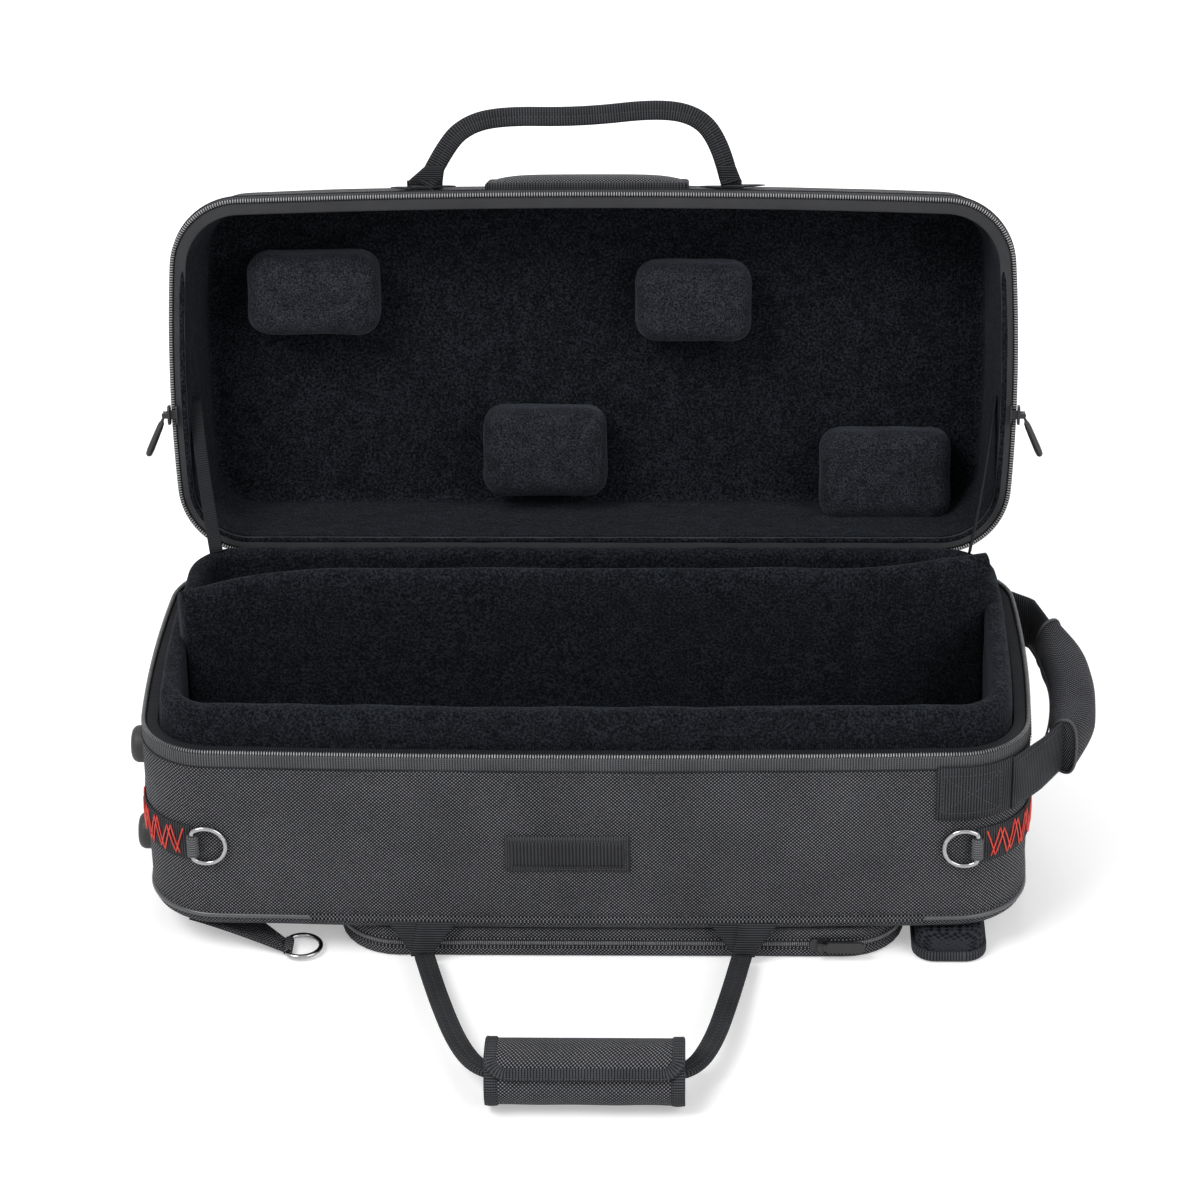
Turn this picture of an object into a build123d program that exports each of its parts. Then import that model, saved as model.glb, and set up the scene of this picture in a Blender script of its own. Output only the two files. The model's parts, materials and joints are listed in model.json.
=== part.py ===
from build123d import *
import os
from math import atan2, cos, degrees, radians, sin, tan

os.makedirs("parts", exist_ok=True)

# A soft-sided case for two trumpets, standing open. The origin is on the floor under the middle
# of the case, +X runs to its right end, -Y to its front and +Z up. The lid's pieces are drawn as
# they lie with the case shut and are then swung open about the hinge line.

# ---------- driving dimensions, in millimetres and degrees ----------

CASE_LENGTH = 570.0        # between the middles of the two bowed ends
CASE_DEPTH = 248.0         # from the middle of the bowed front to the straight back
CORNER_RADIUS = 48.0
FRONT_BOW = 6.0            # how far the front stands out past its corners
END_BOW = 7.0
STAND_HEIGHT = 22.0        # the pocket under the case holds it this far off the floor
BASE_HEIGHT = 132.0        # from the underside of the base to the rim
LID_HEIGHT = 88.0          # from the rim to the lid's roof
LID_DRAFT = 6.0            # the lid's walls lean in by this angle
LID_OPEN = 104.0
HINGE_OFFSET = 4.0         # the hinge line runs this far behind the back

COVER = 1.6                # nylon cover with its backing
BOARD = 6.4                # stiff foam board that gives the case its form
LINING = 1.6
LAYER_GAP = 0.2            # between layers that are sewn or glued together
RUNNING_GAP = 0.4          # between pieces that move past each other
PAST = 10.0                # cutting shapes reach this far past what they cut
LEAST_ROUND = 1.0          # of the inside edges of thick walls
BEND_SHARE = 0.45          # how much of a run each bend of a route takes up
EDGE_RADIUS = 7.0          # along the bottom of the base
ROOF_RADIUS = 15.0         # around the lid's roof

COIL_INSET = 0.3
COIL_WIDTH = 3.0           # one half of the zip's coil
COIL_HEIGHT = 2.6
TAPE_WIDTH = 12.0          # from the rim to the tape's sewn edge
TAPE = 1.2
BINDING = 2.2
PIPING_HEIGHT = 3.2
PIPING_PROUD = 1.2

INSERT_RISE = 22.0         # the plush insert stands this far above the rim
INSERT_INSET = 12.2        # its face above the rim, in from the case's outline
INSERT_FLOOR = 14.0
INSERT_ROUND = 4.6
INSERT_EDGE = 2.0          # along the bottom of the insert
BAY_INSET = 26.0           # the bays' walls, in from the case's outline
BAY_STEP = 27.0            # the rear bay's floor lies this much above the front one's
DIVIDER_THICKNESS = 14.0
DIVIDER_ROUND = 5.9
DIVIDER_RISE = 60.0
DIVIDER_ROUTE = ((-300.0, -40.0), (-208.0, 7.0), (190.0, 9.0), (300.0, 50.0))
DIVIDER_BEND = 130.0

# the pads under the lid's roof: left, right, near and far from the hinge line, depth
LID_PADS = (
    (-236.0, -146.0, 146.0, 202.0, 42.0),
    (28.0, 107.0, 141.0, 195.0, 42.0),
    (-77.0, 8.0, 32.0, 94.0, 38.0),
    (154.0, 244.0, 16.0, 78.0, 38.0),
)
PAD_CORNER = 14.0
PAD_EDGE = 9.0

HINGE_HALF = 216.0         # half the length of the fabric hinge
HINGE_STRIP = 26.0
HINGE_BEAD = 2.2
HINGE_NECK = 1.4           # half the strip's width where it meets the bead

PATCH_LEFT, PATCH_RIGHT, PATCH_LOW, PATCH_HIGH = -49.5, 29.0, 68.5, 94.5
PATCH = 1.8

RING_RADIUS = 14.5         # of the D-rings, to the outside of the wire
RING_WIRE = 1.6
RING_CENTRE = 240.0        # from the middle of the case
RING_HEIGHT = 85.0
RING_CHORD = 8.0           # from the ring's centre to its straight bar
TAB_HEIGHT = 25.0
TAB_REACH = -38.0          # the tab runs round the corner, back to this line
WEBBING = 1.6

SIDE_WEB_WIDTH = 38.0
SIDE_WEB = 2.2
SIDE_HANDLE_Z = 125.0
SIDE_TAIL_START = 221.0
SIDE_STANDOFF = 30.0       # from the right end to the middle of the grip
SIDE_GRIP_LENGTH = 132.0
SIDE_GRIP_BEND = 10.0
SIDE_CLEARANCE = 4.0       # the webbing starts its swing this far outside the corner
SIDE_GRIP_WIDE, SIDE_GRIP_TALL = 30.0, 36.0

HANDLE_WIDE, HANDLE_THICK = 13.0, 5.0
HANDLE_END_ROUND = 2.4
HANDLE_PIVOT_Z = 9.0       # where the front handle leaves its tabs
HANDLE_PIVOT_OUT = 8.0
HANDLE_RISE = 4.6          # the angle at which it rises towards its grip
# each handle's route: sideways, and out from the line it swings about, with its ends cut there
FRONT_ROUTE = ((-104.5, -6.0), (-90.0, 56.0), (-75.0, 109.0), (-60.0, 138.0), (-40.0, 143.0),
               (48.0, 143.0), (69.0, 138.0), (82.0, 106.0), (92.0, 52.0), (101.0, -6.0))
LID_ROUTE = ((-115.0, -7.0), (-101.0, 20.0), (-88.0, 37.0), (-64.0, 45.0), (-8.0, 44.0),
             (46.0, 50.0), (72.0, 44.0), (85.0, 26.0), (94.0, -7.0))
LID_HANDLE_W = 40.0        # above the rim, with the case shut
GRIP_LEFT, GRIP_RIGHT = -56.0, 65.0
GRIP_WIDE, GRIP_TALL, GRIP_WALL = 42.0, 38.0, 5.0
FLAP = 2.4
FLAP_FROM, FLAP_TO = -20.0, 160.0
ANCHOR_TOP, ANCHOR_TIP = 44.0, 15.0
LID_ANCHOR_DROP = 12.0

POCKET_LEFT, POCKET_RIGHT = -160.0, 205.0
POCKET_CORNER = 40.0
POCKET_INSET = 3.0
POCKET_EDGE = 3.0
POCKET_ZIP_END = -40.0     # the pocket's zip turns the corners and ends at this line
POCKET_ZIP = 6.0           # height of the zip's band round a pocket
POCKET_ZIP_DEPTH = 2.0
ROOF_POCKET = 18.0
ROOF_POCKET_EDGE = 5.0
ROOF_POCKET_HALF = 226.0
ROOF_POCKET_FRONT, ROOF_POCKET_BACK = -92.0, 84.0
PANEL_LEFT, PANEL_RIGHT = -69.0, 62.0
PANEL_LOW, PANEL_HIGH, PANEL = 22.0, 62.0, 9.0

STRAP_LEFT, STRAP_RIGHT = 209.0, 257.0
STRAP_REACH = 84.0         # how far the shoulder straps reach in from the front and the back
STRAP_CORNER = 14.0
STRAP_EDGE = 6.0           # along the underside
STRAP_PROUD = 2.0          # past the front and the back
WING_LEFT = -256.0
WING_NEAR, WING_FAR = 15.0, 71.0   # its sewn edge, in from the front and the back
WING = 2.4                 # two layers of nylon
STRAP_BAR_X = -192.0       # the straight bar of the ring in the wing's tip
STRAP_RING_RADIUS = 14.0
STRAP_RING_CHORD = 8.4
STRAP_RING_INSET = 9.4     # from the front and the back to the middle of the ring

FOOT_RADIUS = 12.0
FOOT_HEIGHT = 8.0
FOOT_ROUND = 4.8
FOOT_ROOT = 2.0            # drawn into the wall, then cut off by it
BASE_FEET = ((-62.0, 124.0), (-62.0, 58.0))
LID_FEET = ((-34.0, 50.0), (55.0, 50.0))

STAY_WIDE, STAY_THICK = 9.0, 1.6
STAY_INSIDE = 2.1          # from the lid's lining to the strap
STAY_TOP = (112.0, 20.0)   # along the open lid from the hinge line, and into it
STAY_FOOT = (252.0, 97.0)  # on the plush insert's rear corners

SLIDER_LENGTH, SLIDER_WIDE, SLIDER_PLATE = 13.0, 9.6, 1.4
SLIDER_CORNER, INNER_CORNER = 3.0, 1.8
INNER_PLATE = 4.6          # width of the main slider's inner plate
SLIDER_POST, POST_LENGTH = 0.6, 6.0
PIN_RADIUS = 0.9
PIN_RISE = 2.3             # from the slider's plate to the middle of its pin
LUG, LUG_LENGTH = 1.2, 3.6
LUG_COVER = 0.6            # over the pin
EYE_WALL = 0.8
PULL_LENGTH, PULL_WIDE, PULL = 28.0, 7.6, 2.0
PULL_START, PULL_NECK, PULL_CORNER = 4.0, 5.0, 2.4
PULL_HANG = 27.0           # the rubber pulls stand out from the case by this angle
MAIN_SLIDER_RUN = 101.0    # from the hinge line, along the lid's ends
POCKET_SLIDER_X = 150.0

# ---------- planes and lines that follow from them ----------

FRONT_Y = -CASE_DEPTH / 2
BACK_Y = CASE_DEPTH / 2
END_X = CASE_LENGTH / 2
RIM_Z = STAND_HEIGHT + BASE_HEIGHT
ROOF_Z = RIM_Z + LID_HEIGHT
HINGE_Y = BACK_Y + HINGE_OFFSET
HINGE = Axis((0, HINGE_Y, RIM_Z), (1, 0, 0))
BOARD_INSET = COVER + LAYER_GAP
INNER_INSET = BOARD_INSET + BOARD + LAYER_GAP
CEILING_Z = ROOF_Z - INNER_INSET - LINING
INSERT_Z = STAND_HEIGHT + INNER_INSET
FRONT_FLOOR_Z = INSERT_Z + INSERT_FLOOR
REAR_FLOOR_Z = FRONT_FLOOR_Z + BAY_STEP
LEAN = tan(radians(LID_DRAFT))
PIPING_Z = STAND_HEIGHT + EDGE_RADIUS + LAYER_GAP
POCKET_ZIP_Z = (STAND_HEIGHT - POCKET_ZIP) / 2
ROOF_ZIP_Z = ROOF_Z + (ROOF_POCKET - POCKET_ZIP) / 2
RING_BORE = RING_WIRE + RUNNING_GAP
STRAP_BAR_Y = FRONT_Y + STRAP_RING_INSET
STRAP_RING_Z = RING_BORE + WING / 2 + RUNNING_GAP
HANDLE_PIVOT_Y = FRONT_Y - HANDLE_PIVOT_OUT
PIN_Z = RUNNING_GAP + SLIDER_PLATE + PIN_RISE


def outline(inset, z=0.0):
    """The case seen from above: a straight back, bowed front and ends, and round corners."""
    end, front, back = END_X - inset, FRONT_Y + inset, BACK_Y - inset
    corner = end - END_BOW
    sides = [
        ThreePointArc((-corner, front + FRONT_BOW), (0, front), (corner, front + FRONT_BOW)),
        ThreePointArc((corner, front + FRONT_BOW), (end, 0), (corner, back)),
        Line((corner, back), (-corner, back)),
        ThreePointArc((-corner, back), (-end, 0), (-corner, front + FRONT_BOW)),
    ]
    face = make_face(sides)
    return Pos(0, 0, z) * fillet(face.vertices(), max(CORNER_RADIUS - inset, 2.0))


def front_y(x):
    """How far forward the bowed front lies, short of the corners."""
    return FRONT_Y + FRONT_BOW * (x / (END_X - END_BOW)) ** 2


def end_x(y):
    """How far out the bowed end lies, short of the corners."""
    return END_X - END_BOW * (y / BACK_Y) ** 2


RING_Y = front_y(RING_CENTRE - RING_RADIUS) - RING_BORE
LID_HANDLE_OUT = LAYER_GAP + WEBBING + RUNNING_GAP + HANDLE_THICK / 2
LID_PIVOT_Y = front_y(LID_ROUTE[-1][0]) + LID_HANDLE_W * LEAN - LID_HANDLE_OUT


def prism(inset, low, high):
    return extrude(outline(inset, low), high - low)


def leaning(inset, low, high):
    """A block whose walls lean in towards the top, by the lid's draft."""
    return loft([outline(inset, low), outline(inset + (high - low) * LEAN, high)], ruled=True)


def band(outer, inner, low, high):
    """An upright ring that follows the case's outline."""
    return prism(outer, low, high) - prism(inner, low, high)


def block(x0, x1, y0, y1, z0, z1):
    return Pos((x0 + x1) / 2, (y0 + y1) / 2, (z0 + z1) / 2) * Box(x1 - x0, y1 - y0, z1 - z0)


def round_edges(shape, axis_end, radius):
    """Round the edges at the shape's low (0) or high (-1) end."""
    return fillet(shape.edges().group_by(Axis.Z)[axis_end], radius)


def smooth_route(points):
    """A route of straight runs and round bends, each bend as large as its runs allow."""
    route = [Vector(*p) for p in points]
    radii = []
    for before, here, after in zip(route, route[1:], route[2:]):
        turn = radians((here - before).get_angle(after - here))
        radii.append(BEND_SHARE * min((here - before).length, (after - here).length) / tan(turn / 2))
    return FilletPolyline(*route, radius=radii)


def opened(shape):
    """Swing a piece of the lid from shut to open."""
    return shape.rotate(HINGE, -LID_OPEN)


# ---------- the base: cover, board, rim and plush insert ----------

def tub(inset, wall, low, high, edge):
    """An open box that follows the outline, with a round bottom edge."""
    outside = round_edges(prism(inset, low, high), 0, edge)
    inside = prism(inset + wall, low + wall, high + PAST)
    inside = round_edges(inside, 0, max(edge - wall, LEAST_ROUND))
    return outside - inside


def hinge_gap(low, high):
    """The stretch of the back that the zip leaves to the fabric hinge."""
    return block(-HINGE_HALF, HINGE_HALF, 0, BACK_Y + PAST, low, high)


def base_bottom():
    return tub(0, COVER, STAND_HEIGHT, STAND_HEIGHT + EDGE_RADIUS, EDGE_RADIUS - LAYER_GAP)


def base_piping():
    return band(-PIPING_PROUD, COVER, PIPING_Z, PIPING_Z + PIPING_HEIGHT)


def base_cover():
    low = PIPING_Z + PIPING_HEIGHT + LAYER_GAP
    return band(0, COVER, low, RIM_Z - TAPE_WIDTH - LAYER_GAP)


def base_board():
    return tub(BOARD_INSET, BOARD, STAND_HEIGHT + BOARD_INSET, RIM_Z - TAPE_WIDTH / 2,
               EDGE_RADIUS)


def rim_band(outer, inner, near, far):
    """A ring at the rim of the base, between two depths below the rim's plane."""
    return band(outer, inner, RIM_Z - far, RIM_Z - near)


def zip_tape():
    near = RUNNING_GAP + COIL_HEIGHT + LAYER_GAP
    tape = rim_band(COIL_INSET, COIL_INSET + TAPE, near, TAPE_WIDTH)
    return tape - hinge_gap(RIM_Z - TAPE_WIDTH, RIM_Z)


def zip_coil():
    coil = rim_band(COIL_INSET, COIL_INSET + COIL_WIDTH, RUNNING_GAP, RUNNING_GAP + COIL_HEIGHT)
    return coil - hinge_gap(RIM_Z - TAPE_WIDTH, RIM_Z)


def rim_binding():
    """The bound edge of the lining, which hides the board behind the coil."""
    inner = INSERT_INSET - 2 * RUNNING_GAP
    return rim_band(COIL_INSET + COIL_WIDTH + LAYER_GAP, inner, COIL_HEIGHT,
                    COIL_HEIGHT + BINDING)


def on_lid(shape):
    """The same piece on the lid's rim, as a mirror image in the plane between them."""
    return mirror(shape, Plane.XY.offset(RIM_Z))


def divider_line():
    return FilletPolyline(*DIVIDER_ROUTE, radius=DIVIDER_BEND)


def divider_band(thickness, low, high):
    return extrude(Pos(0, 0, low) * trace(divider_line(), thickness), high - low)


def bay_side(far_y, low, high):
    """All that lies between the divider's line and a line past the front or the back."""
    start, end = DIVIDER_ROUTE[0], DIVIDER_ROUTE[-1]
    edge = Polyline(end, (end[0], far_y), (start[0], far_y), start)
    return extrude(Pos(0, 0, low) * make_face([divider_line(), edge]), high - low)


def base_insert():
    """Plush foam with a bay for each trumpet, the rear one on a step."""
    step_z = RIM_Z - COIL_HEIGHT - BINDING - LAYER_GAP
    high = RIM_Z + INSERT_RISE + PAST
    foam = prism(INNER_INSET + LAYER_GAP, INSERT_Z + LAYER_GAP, step_z)
    foam = round_edges(foam, 0, INSERT_EDGE)
    foam += leaning(INSERT_INSET, step_z, RIM_Z + INSERT_RISE)
    front = bay_side(2 * FRONT_Y, FRONT_FLOOR_Z, high)
    front -= divider_band(DIVIDER_THICKNESS, FRONT_FLOOR_Z, high)
    rear = bay_side(2 * BACK_Y, REAR_FLOOR_Z, high)
    rear += divider_band(DIVIDER_THICKNESS, REAR_FLOOR_Z, high)
    bays = prism(BAY_INSET, FRONT_FLOOR_Z, high) & (front + rear)
    return round_edges(foam - bays, -1, INSERT_ROUND)


def bay_divider():
    """The S-shaped plush board between the bays, which bends away from each bell."""
    low, high = REAR_FLOOR_Z + LAYER_GAP, RIM_Z + DIVIDER_RISE
    board = divider_band(DIVIDER_THICKNESS - 2 * LAYER_GAP, low, high)
    board &= prism(BAY_INSET + LAYER_GAP, low, high)
    return round_edges(board, -1, DIVIDER_ROUND)


# ---------- sewn to the base ----------

def fabric_hinge(lid_side):
    """A strip sewn to the back, rolled to a bead along the hinge line or laid against it."""
    side = 1 if lid_side else -1
    skin = BACK_Y + LAYER_GAP
    lean = LEAN * HINGE_STRIP if lid_side else 0
    low, knee, top = HINGE_STRIP, 2 * HINGE_OFFSET, HINGE_NECK
    web = Polygon(
        (skin - lean, RIM_Z + side * low),
        (skin + WEBBING - lean, RIM_Z + side * low),
        (skin + WEBBING, RIM_Z + side * knee),
        (HINGE_Y + HINGE_NECK, RIM_Z + side * top),
        (HINGE_Y - HINGE_NECK, RIM_Z + side * top),
        (skin, RIM_Z + side * (knee + WEBBING)),
        align=None,
    )
    bead = Pos(HINGE_Y, RIM_Z) * Circle(HINGE_BEAD)
    space = Pos(HINGE_Y, RIM_Z) * Circle(HINGE_BEAD + RUNNING_GAP)
    face = web - space if lid_side else web + bead
    half = HINGE_HALF - RUNNING_GAP
    return Plane.YZ * extrude(face, half, both=True)


def hook_patch():
    strip = band(-PATCH, -LAYER_GAP, PATCH_LOW, PATCH_HIGH)
    return strip & block(PATCH_LEFT, PATCH_RIGHT, FRONT_Y - PAST, 0, PATCH_LOW, PATCH_HIGH)


def wire_ring(radius, chord, wire):
    """A bent wire ring with one straight side, at +X, and tight bends into it."""
    mean = radius - wire
    half = (mean ** 2 - chord ** 2) ** 0.5
    arc = ThreePointArc((chord, -half), (-mean, 0), (chord, half))
    inside = fillet(make_face([arc, Line((chord, half), (chord, -half))]).vertices(), 2 * wire)
    loop = inside.face().outer_wire()
    return sweep(Plane(origin=loop @ 0, z_dir=loop % 0) * Circle(wire), path=loop)


def bar_length(radius, chord):
    """The straight stretch of a ring's bar, between its bends."""
    return 2 * ((radius - RING_WIRE) ** 2 - chord ** 2) ** 0.5 - 4 * RING_WIRE


def d_ring(side):
    ring = Rot(90, 0, 0) * wire_ring(RING_RADIUS, RING_CHORD, RING_WIRE)
    ring = ring if side > 0 else mirror(ring, Plane.YZ)
    return Pos(side * RING_CENTRE, RING_Y, RING_HEIGHT) * ring


def d_ring_tab(side):
    """Webbing round the corner, with its end rolled round the ring's bar."""
    low, high = RING_HEIGHT - TAB_HEIGHT / 2, RING_HEIGHT + TAB_HEIGHT / 2
    bar_x = RING_CENTRE + RING_CHORD
    strap = band(-LAYER_GAP - WEBBING, -LAYER_GAP, low, high)
    strap &= block(bar_x, 2 * END_X, 2 * FRONT_Y, TAB_REACH, low, high)
    eye_height = bar_length(RING_RADIUS, RING_CHORD)
    bar = Pos(bar_x, RING_Y, RING_HEIGHT)
    strap -= bar * Cylinder(RING_BORE, 2 * TAB_HEIGHT)
    eye = bar * (Cylinder(RING_BORE + WEBBING, eye_height) - Cylinder(RING_BORE, eye_height))
    eye -= prism(-LAYER_GAP, low, high)
    strap -= bar * Cylinder(RING_RADIUS, 2 * TAB_HEIGHT) - bar * Cylinder(RING_RADIUS, eye_height)
    tab = strap + eye
    return tab if side > 0 else mirror(tab, Plane.YZ)


def end_foot(y, z, lean_in):
    """A round rubber foot with a domed edge, on the left end."""
    disc = round_edges(Cylinder(FOOT_RADIUS, FOOT_HEIGHT + FOOT_ROOT), -1, FOOT_ROUND)
    face_x = -end_x(y) + lean_in
    return Pos(face_x - (FOOT_HEIGHT - FOOT_ROOT) / 2, y, z) * Rot(0, -90, 0) * disc


def base_feet():
    wall = prism(-LAYER_GAP, STAND_HEIGHT, RIM_Z)
    return [end_foot(y, z, 0) - wall for y, z in BASE_FEET]


# ---------- side handle ----------

def round_corners():
    """The two round corners of the case's right end: the front one, then the back one."""
    arcs = outline(0).edges().filter_by(GeomType.CIRCLE)
    corners = [arc for arc in arcs if abs(arc.radius - CORNER_RADIUS) < 0.1 and (arc @ 0.5).X > 0]
    return sorted(corners, key=lambda arc: (arc @ 0.5).Y)


def side_tails():
    """The ends of the side handle's webbing, sewn flat on the front and on the back."""
    low, high = SIDE_HANDLE_Z - SIDE_WEB_WIDTH / 2, SIDE_HANDLE_Z + SIDE_WEB_WIDTH / 2
    strap = band(-LAYER_GAP - SIDE_WEB, -LAYER_GAP, low, high)
    front, back = [corner[0] - RUNNING_GAP for corner, _ in side_ends()]
    return [
        strap & block(SIDE_TAIL_START, front, 2 * FRONT_Y, -CASE_DEPTH / 4, low, high),
        strap & block(SIDE_TAIL_START, back, CASE_DEPTH / 4, 2 * BACK_Y, low, high),
    ]


def side_ends():
    """Where the webbing leaves the corners and where it meets the grip, seen from above."""
    grip_x = END_X + SIDE_STANDOFF - SIDE_GRIP_BEND
    half = SIDE_GRIP_LENGTH / 2
    ends = []
    for corner, grip_y in zip(round_corners(), (-half, half)):
        middle = corner @ 0.5
        leave = middle + (middle - corner.arc_center).normalized() * SIDE_CLEARANCE
        ends.append(((leave.X, leave.Y), (grip_x, grip_y)))
    return ends


def side_strap():
    """The two free stretches of webbing, rounded where they swing at the corners."""
    reach = SIDE_WEB_WIDTH / 2
    low, high = SIDE_HANDLE_Z - reach, SIDE_HANDLE_Z + reach
    arms = []
    for corner, grip in side_ends():
        arm = extrude(Pos(0, 0, low) * trace(Line(corner, grip), SIDE_WEB), high - low)
        swing = Pos(corner[0] + reach, 0, SIDE_HANDLE_Z) * Rot(90, 0, 0)
        round_end = swing * Cylinder(reach, 2 * CASE_DEPTH)
        rest = block(corner[0] + reach, 2 * END_X, 2 * FRONT_Y, 2 * BACK_Y, low, high)
        arms.append((arm & (round_end + rest)) - side_grip())
    return arms


def side_grip():
    """A padded tube with a soft bend, closed round the webbing."""
    (_, near), (_, far) = side_ends()
    middle = (END_X + SIDE_STANDOFF, 0)
    ends = [(x, y, SIDE_HANDLE_Z) for x, y in (near, middle, far)]
    path = ThreePointArc(*ends)
    section = Plane(origin=path @ 0, x_dir=(0, 0, 1), z_dir=path % 0)
    return sweep(section * Ellipse(SIDE_GRIP_TALL / 2, SIDE_GRIP_WIDE / 2), path=path)


# ---------- carrying handles ----------

def handle_strap(points):
    """Folded webbing that lies flat and runs forward, its ends rounded about Y = 0."""
    route = smooth_route([(x, -run) for x, run in points])
    strap = extrude(Pos(0, 0, -HANDLE_THICK / 2) * trace(route, HANDLE_WIDE), HANDLE_THICK)
    strap &= block(-END_X, END_X, 2 * FRONT_Y, HANDLE_THICK / 2, -HANDLE_THICK, HANDLE_THICK)
    ends = strap.edges().group_by(Axis.Y)[-1].filter_by(Axis.X)
    return fillet(ends, HANDLE_END_ROUND)


def front_place():
    return Pos(0, HANDLE_PIVOT_Y, HANDLE_PIVOT_Z) * Rot(-HANDLE_RISE, 0, 0)


def grip_place():
    run = max(run for _, run in FRONT_ROUTE)
    across = Plane(origin=((GRIP_LEFT + GRIP_RIGHT) / 2, -run, 0), x_dir=(0, 1, 0), z_dir=(1, 0, 0))
    return front_place() * across.location


def grip_wrap():
    """A padded sleeve around the middle of the strap."""
    half = (GRIP_RIGHT - GRIP_LEFT) / 2
    slot = RectangleRounded(GRIP_WIDE - 2 * GRIP_WALL, HANDLE_THICK + 2 * RUNNING_GAP,
                            HANDLE_THICK / 2)
    return grip_place() * extrude(Ellipse(GRIP_WIDE / 2, GRIP_TALL / 2) - slot, half, both=True)


def flap_seam():
    """The flap's sewn edge, where it swings: behind the sleeve's middle, and a little lower."""
    wide, tall = GRIP_WIDE / 2 + RUNNING_GAP, GRIP_TALL / 2 + RUNNING_GAP
    turn = radians(FLAP_FROM)
    near = 1 / ((cos(turn) / wide) ** 2 + (sin(turn) / tall) ** 2) ** 0.5
    return (near + FLAP / 2) * cos(turn), (near + FLAP / 2) * sin(turn)


def grip_flap():
    """The sleeve's closing flap: a sheet over its top, round along its sewn rear edge."""
    half = (GRIP_RIGHT - GRIP_LEFT) / 2
    wide, tall = GRIP_WIDE / 2 + RUNNING_GAP, GRIP_TALL / 2 + RUNNING_GAP
    reach, start, end = GRIP_WIDE, radians(FLAP_FROM), radians(FLAP_TO)
    wedge = Polygon((0, 0), (reach * cos(start), reach * sin(start)), (reach, reach),
                    (-reach, reach), (reach * cos(end), reach * sin(end)), align=None)
    sheet = (Ellipse(wide + FLAP, tall + FLAP) - Ellipse(wide, tall)) & wedge
    sheet += Pos(*flap_seam()) * Circle(FLAP / 2)
    return grip_place() * extrude(sheet, half, both=True)


def anchor(x, top, foot, thick):
    """Webbing folded to a triangle, wide at its sewn top (Y, Z) and narrow at its foot (Y, Z)."""
    drop, out = top[1] - foot[1], top[0] - foot[0]
    wide, tip = ANCHOR_TOP / 2, ANCHOR_TIP / 2
    length = (drop ** 2 + out ** 2) ** 0.5
    face = Polygon((-wide, 0), (wide, 0), (tip, -length), (-tip, -length), align=None)
    tab = extrude(face, thick, dir=(0, 0, -1))
    return Pos(x, *top) * Rot(90 - degrees(atan2(out, drop)), 0, 0) * tab


def front_anchors():
    """They hang from the seam under the piping, down behind the strap's ends."""
    foot = (HANDLE_PIVOT_Y + HANDLE_THICK / 2 + RUNNING_GAP, HANDLE_PIVOT_Z - HANDLE_THICK / 2)
    tabs = []
    for x, _ in (FRONT_ROUTE[0], FRONT_ROUTE[-1]):
        top = (front_y(x) - LAYER_GAP - WEBBING, PIPING_Z - LAYER_GAP)
        tabs.append(anchor(x, top, foot, WEBBING) - prism(-LAYER_GAP, 0, RIM_Z))
    return tabs


def lid_anchors():
    """They lie flat on the lid's front wall, under the strap's ends."""
    wall = leaning(-LAYER_GAP, RIM_Z, ROOF_Z)
    tabs = []
    for x, _ in (LID_ROUTE[0], LID_ROUTE[-1]):
        face_y = front_y(x) + LID_HANDLE_W * LEAN - LAYER_GAP - WEBBING
        top = (face_y + LID_ANCHOR_DROP * LEAN, RIM_Z + LID_HANDLE_W + LID_ANCHOR_DROP)
        foot = (face_y - LID_ANCHOR_DROP * LEAN, RIM_Z + LID_HANDLE_W - LID_ANCHOR_DROP)
        tabs.append(anchor(x, top, foot, 2 * WEBBING) - wall)
    return tabs


def lid_handle():
    return Pos(0, LID_PIVOT_Y, RIM_Z + LID_HANDLE_W) * handle_strap(LID_ROUTE)


# ---------- under the base: pocket and shoulder straps ----------

def pocket_outline(inset):
    wide = POCKET_RIGHT - POCKET_LEFT - 2 * inset
    deep = CASE_DEPTH - 2 * (POCKET_INSET + inset)
    shape = RectangleRounded(wide, deep, POCKET_CORNER - inset)
    return Pos((POCKET_LEFT + POCKET_RIGHT) / 2, 0) * shape


def roof_outline(inset):
    wide = 2 * (ROOF_POCKET_HALF - inset)
    deep = ROOF_POCKET_BACK - ROOF_POCKET_FRONT - 2 * inset
    shape = RectangleRounded(wide, deep, POCKET_CORNER - inset)
    return Pos(0, (ROOF_POCKET_FRONT + ROOF_POCKET_BACK) / 2) * shape


def zip_ring(pocket, low, outer, clearance):
    """A band round a pocket's front and its corners, between an outer line and the groove."""
    height = POCKET_ZIP - 2 * clearance
    ring = extrude(pocket(outer), height) - extrude(pocket(POCKET_ZIP_DEPTH - clearance), height)
    reach = block(-END_X, END_X, 2 * FRONT_Y, POCKET_ZIP_END - clearance, 0, 2 * ROOF_Z)
    return (Pos(0, 0, low + clearance) * ring) & reach


def zip_groove(pocket, low):
    return zip_ring(pocket, low, -POCKET_ZIP_DEPTH, 0)


def pocket_zip(pocket, low):
    return zip_ring(pocket, low, LAYER_GAP, LAYER_GAP)


def bottom_pocket():
    pocket = extrude(pocket_outline(0), STAND_HEIGHT - LAYER_GAP)
    return round_edges(pocket, 0, POCKET_EDGE) - zip_groove(pocket_outline, POCKET_ZIP_Z)


def roof_pocket():
    slab = Pos(0, 0, ROOF_Z + LAYER_GAP) * extrude(roof_outline(0), ROOF_POCKET)
    return round_edges(slab, -1, ROOF_POCKET_EDGE) - zip_groove(roof_outline, ROOF_ZIP_Z)


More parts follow.
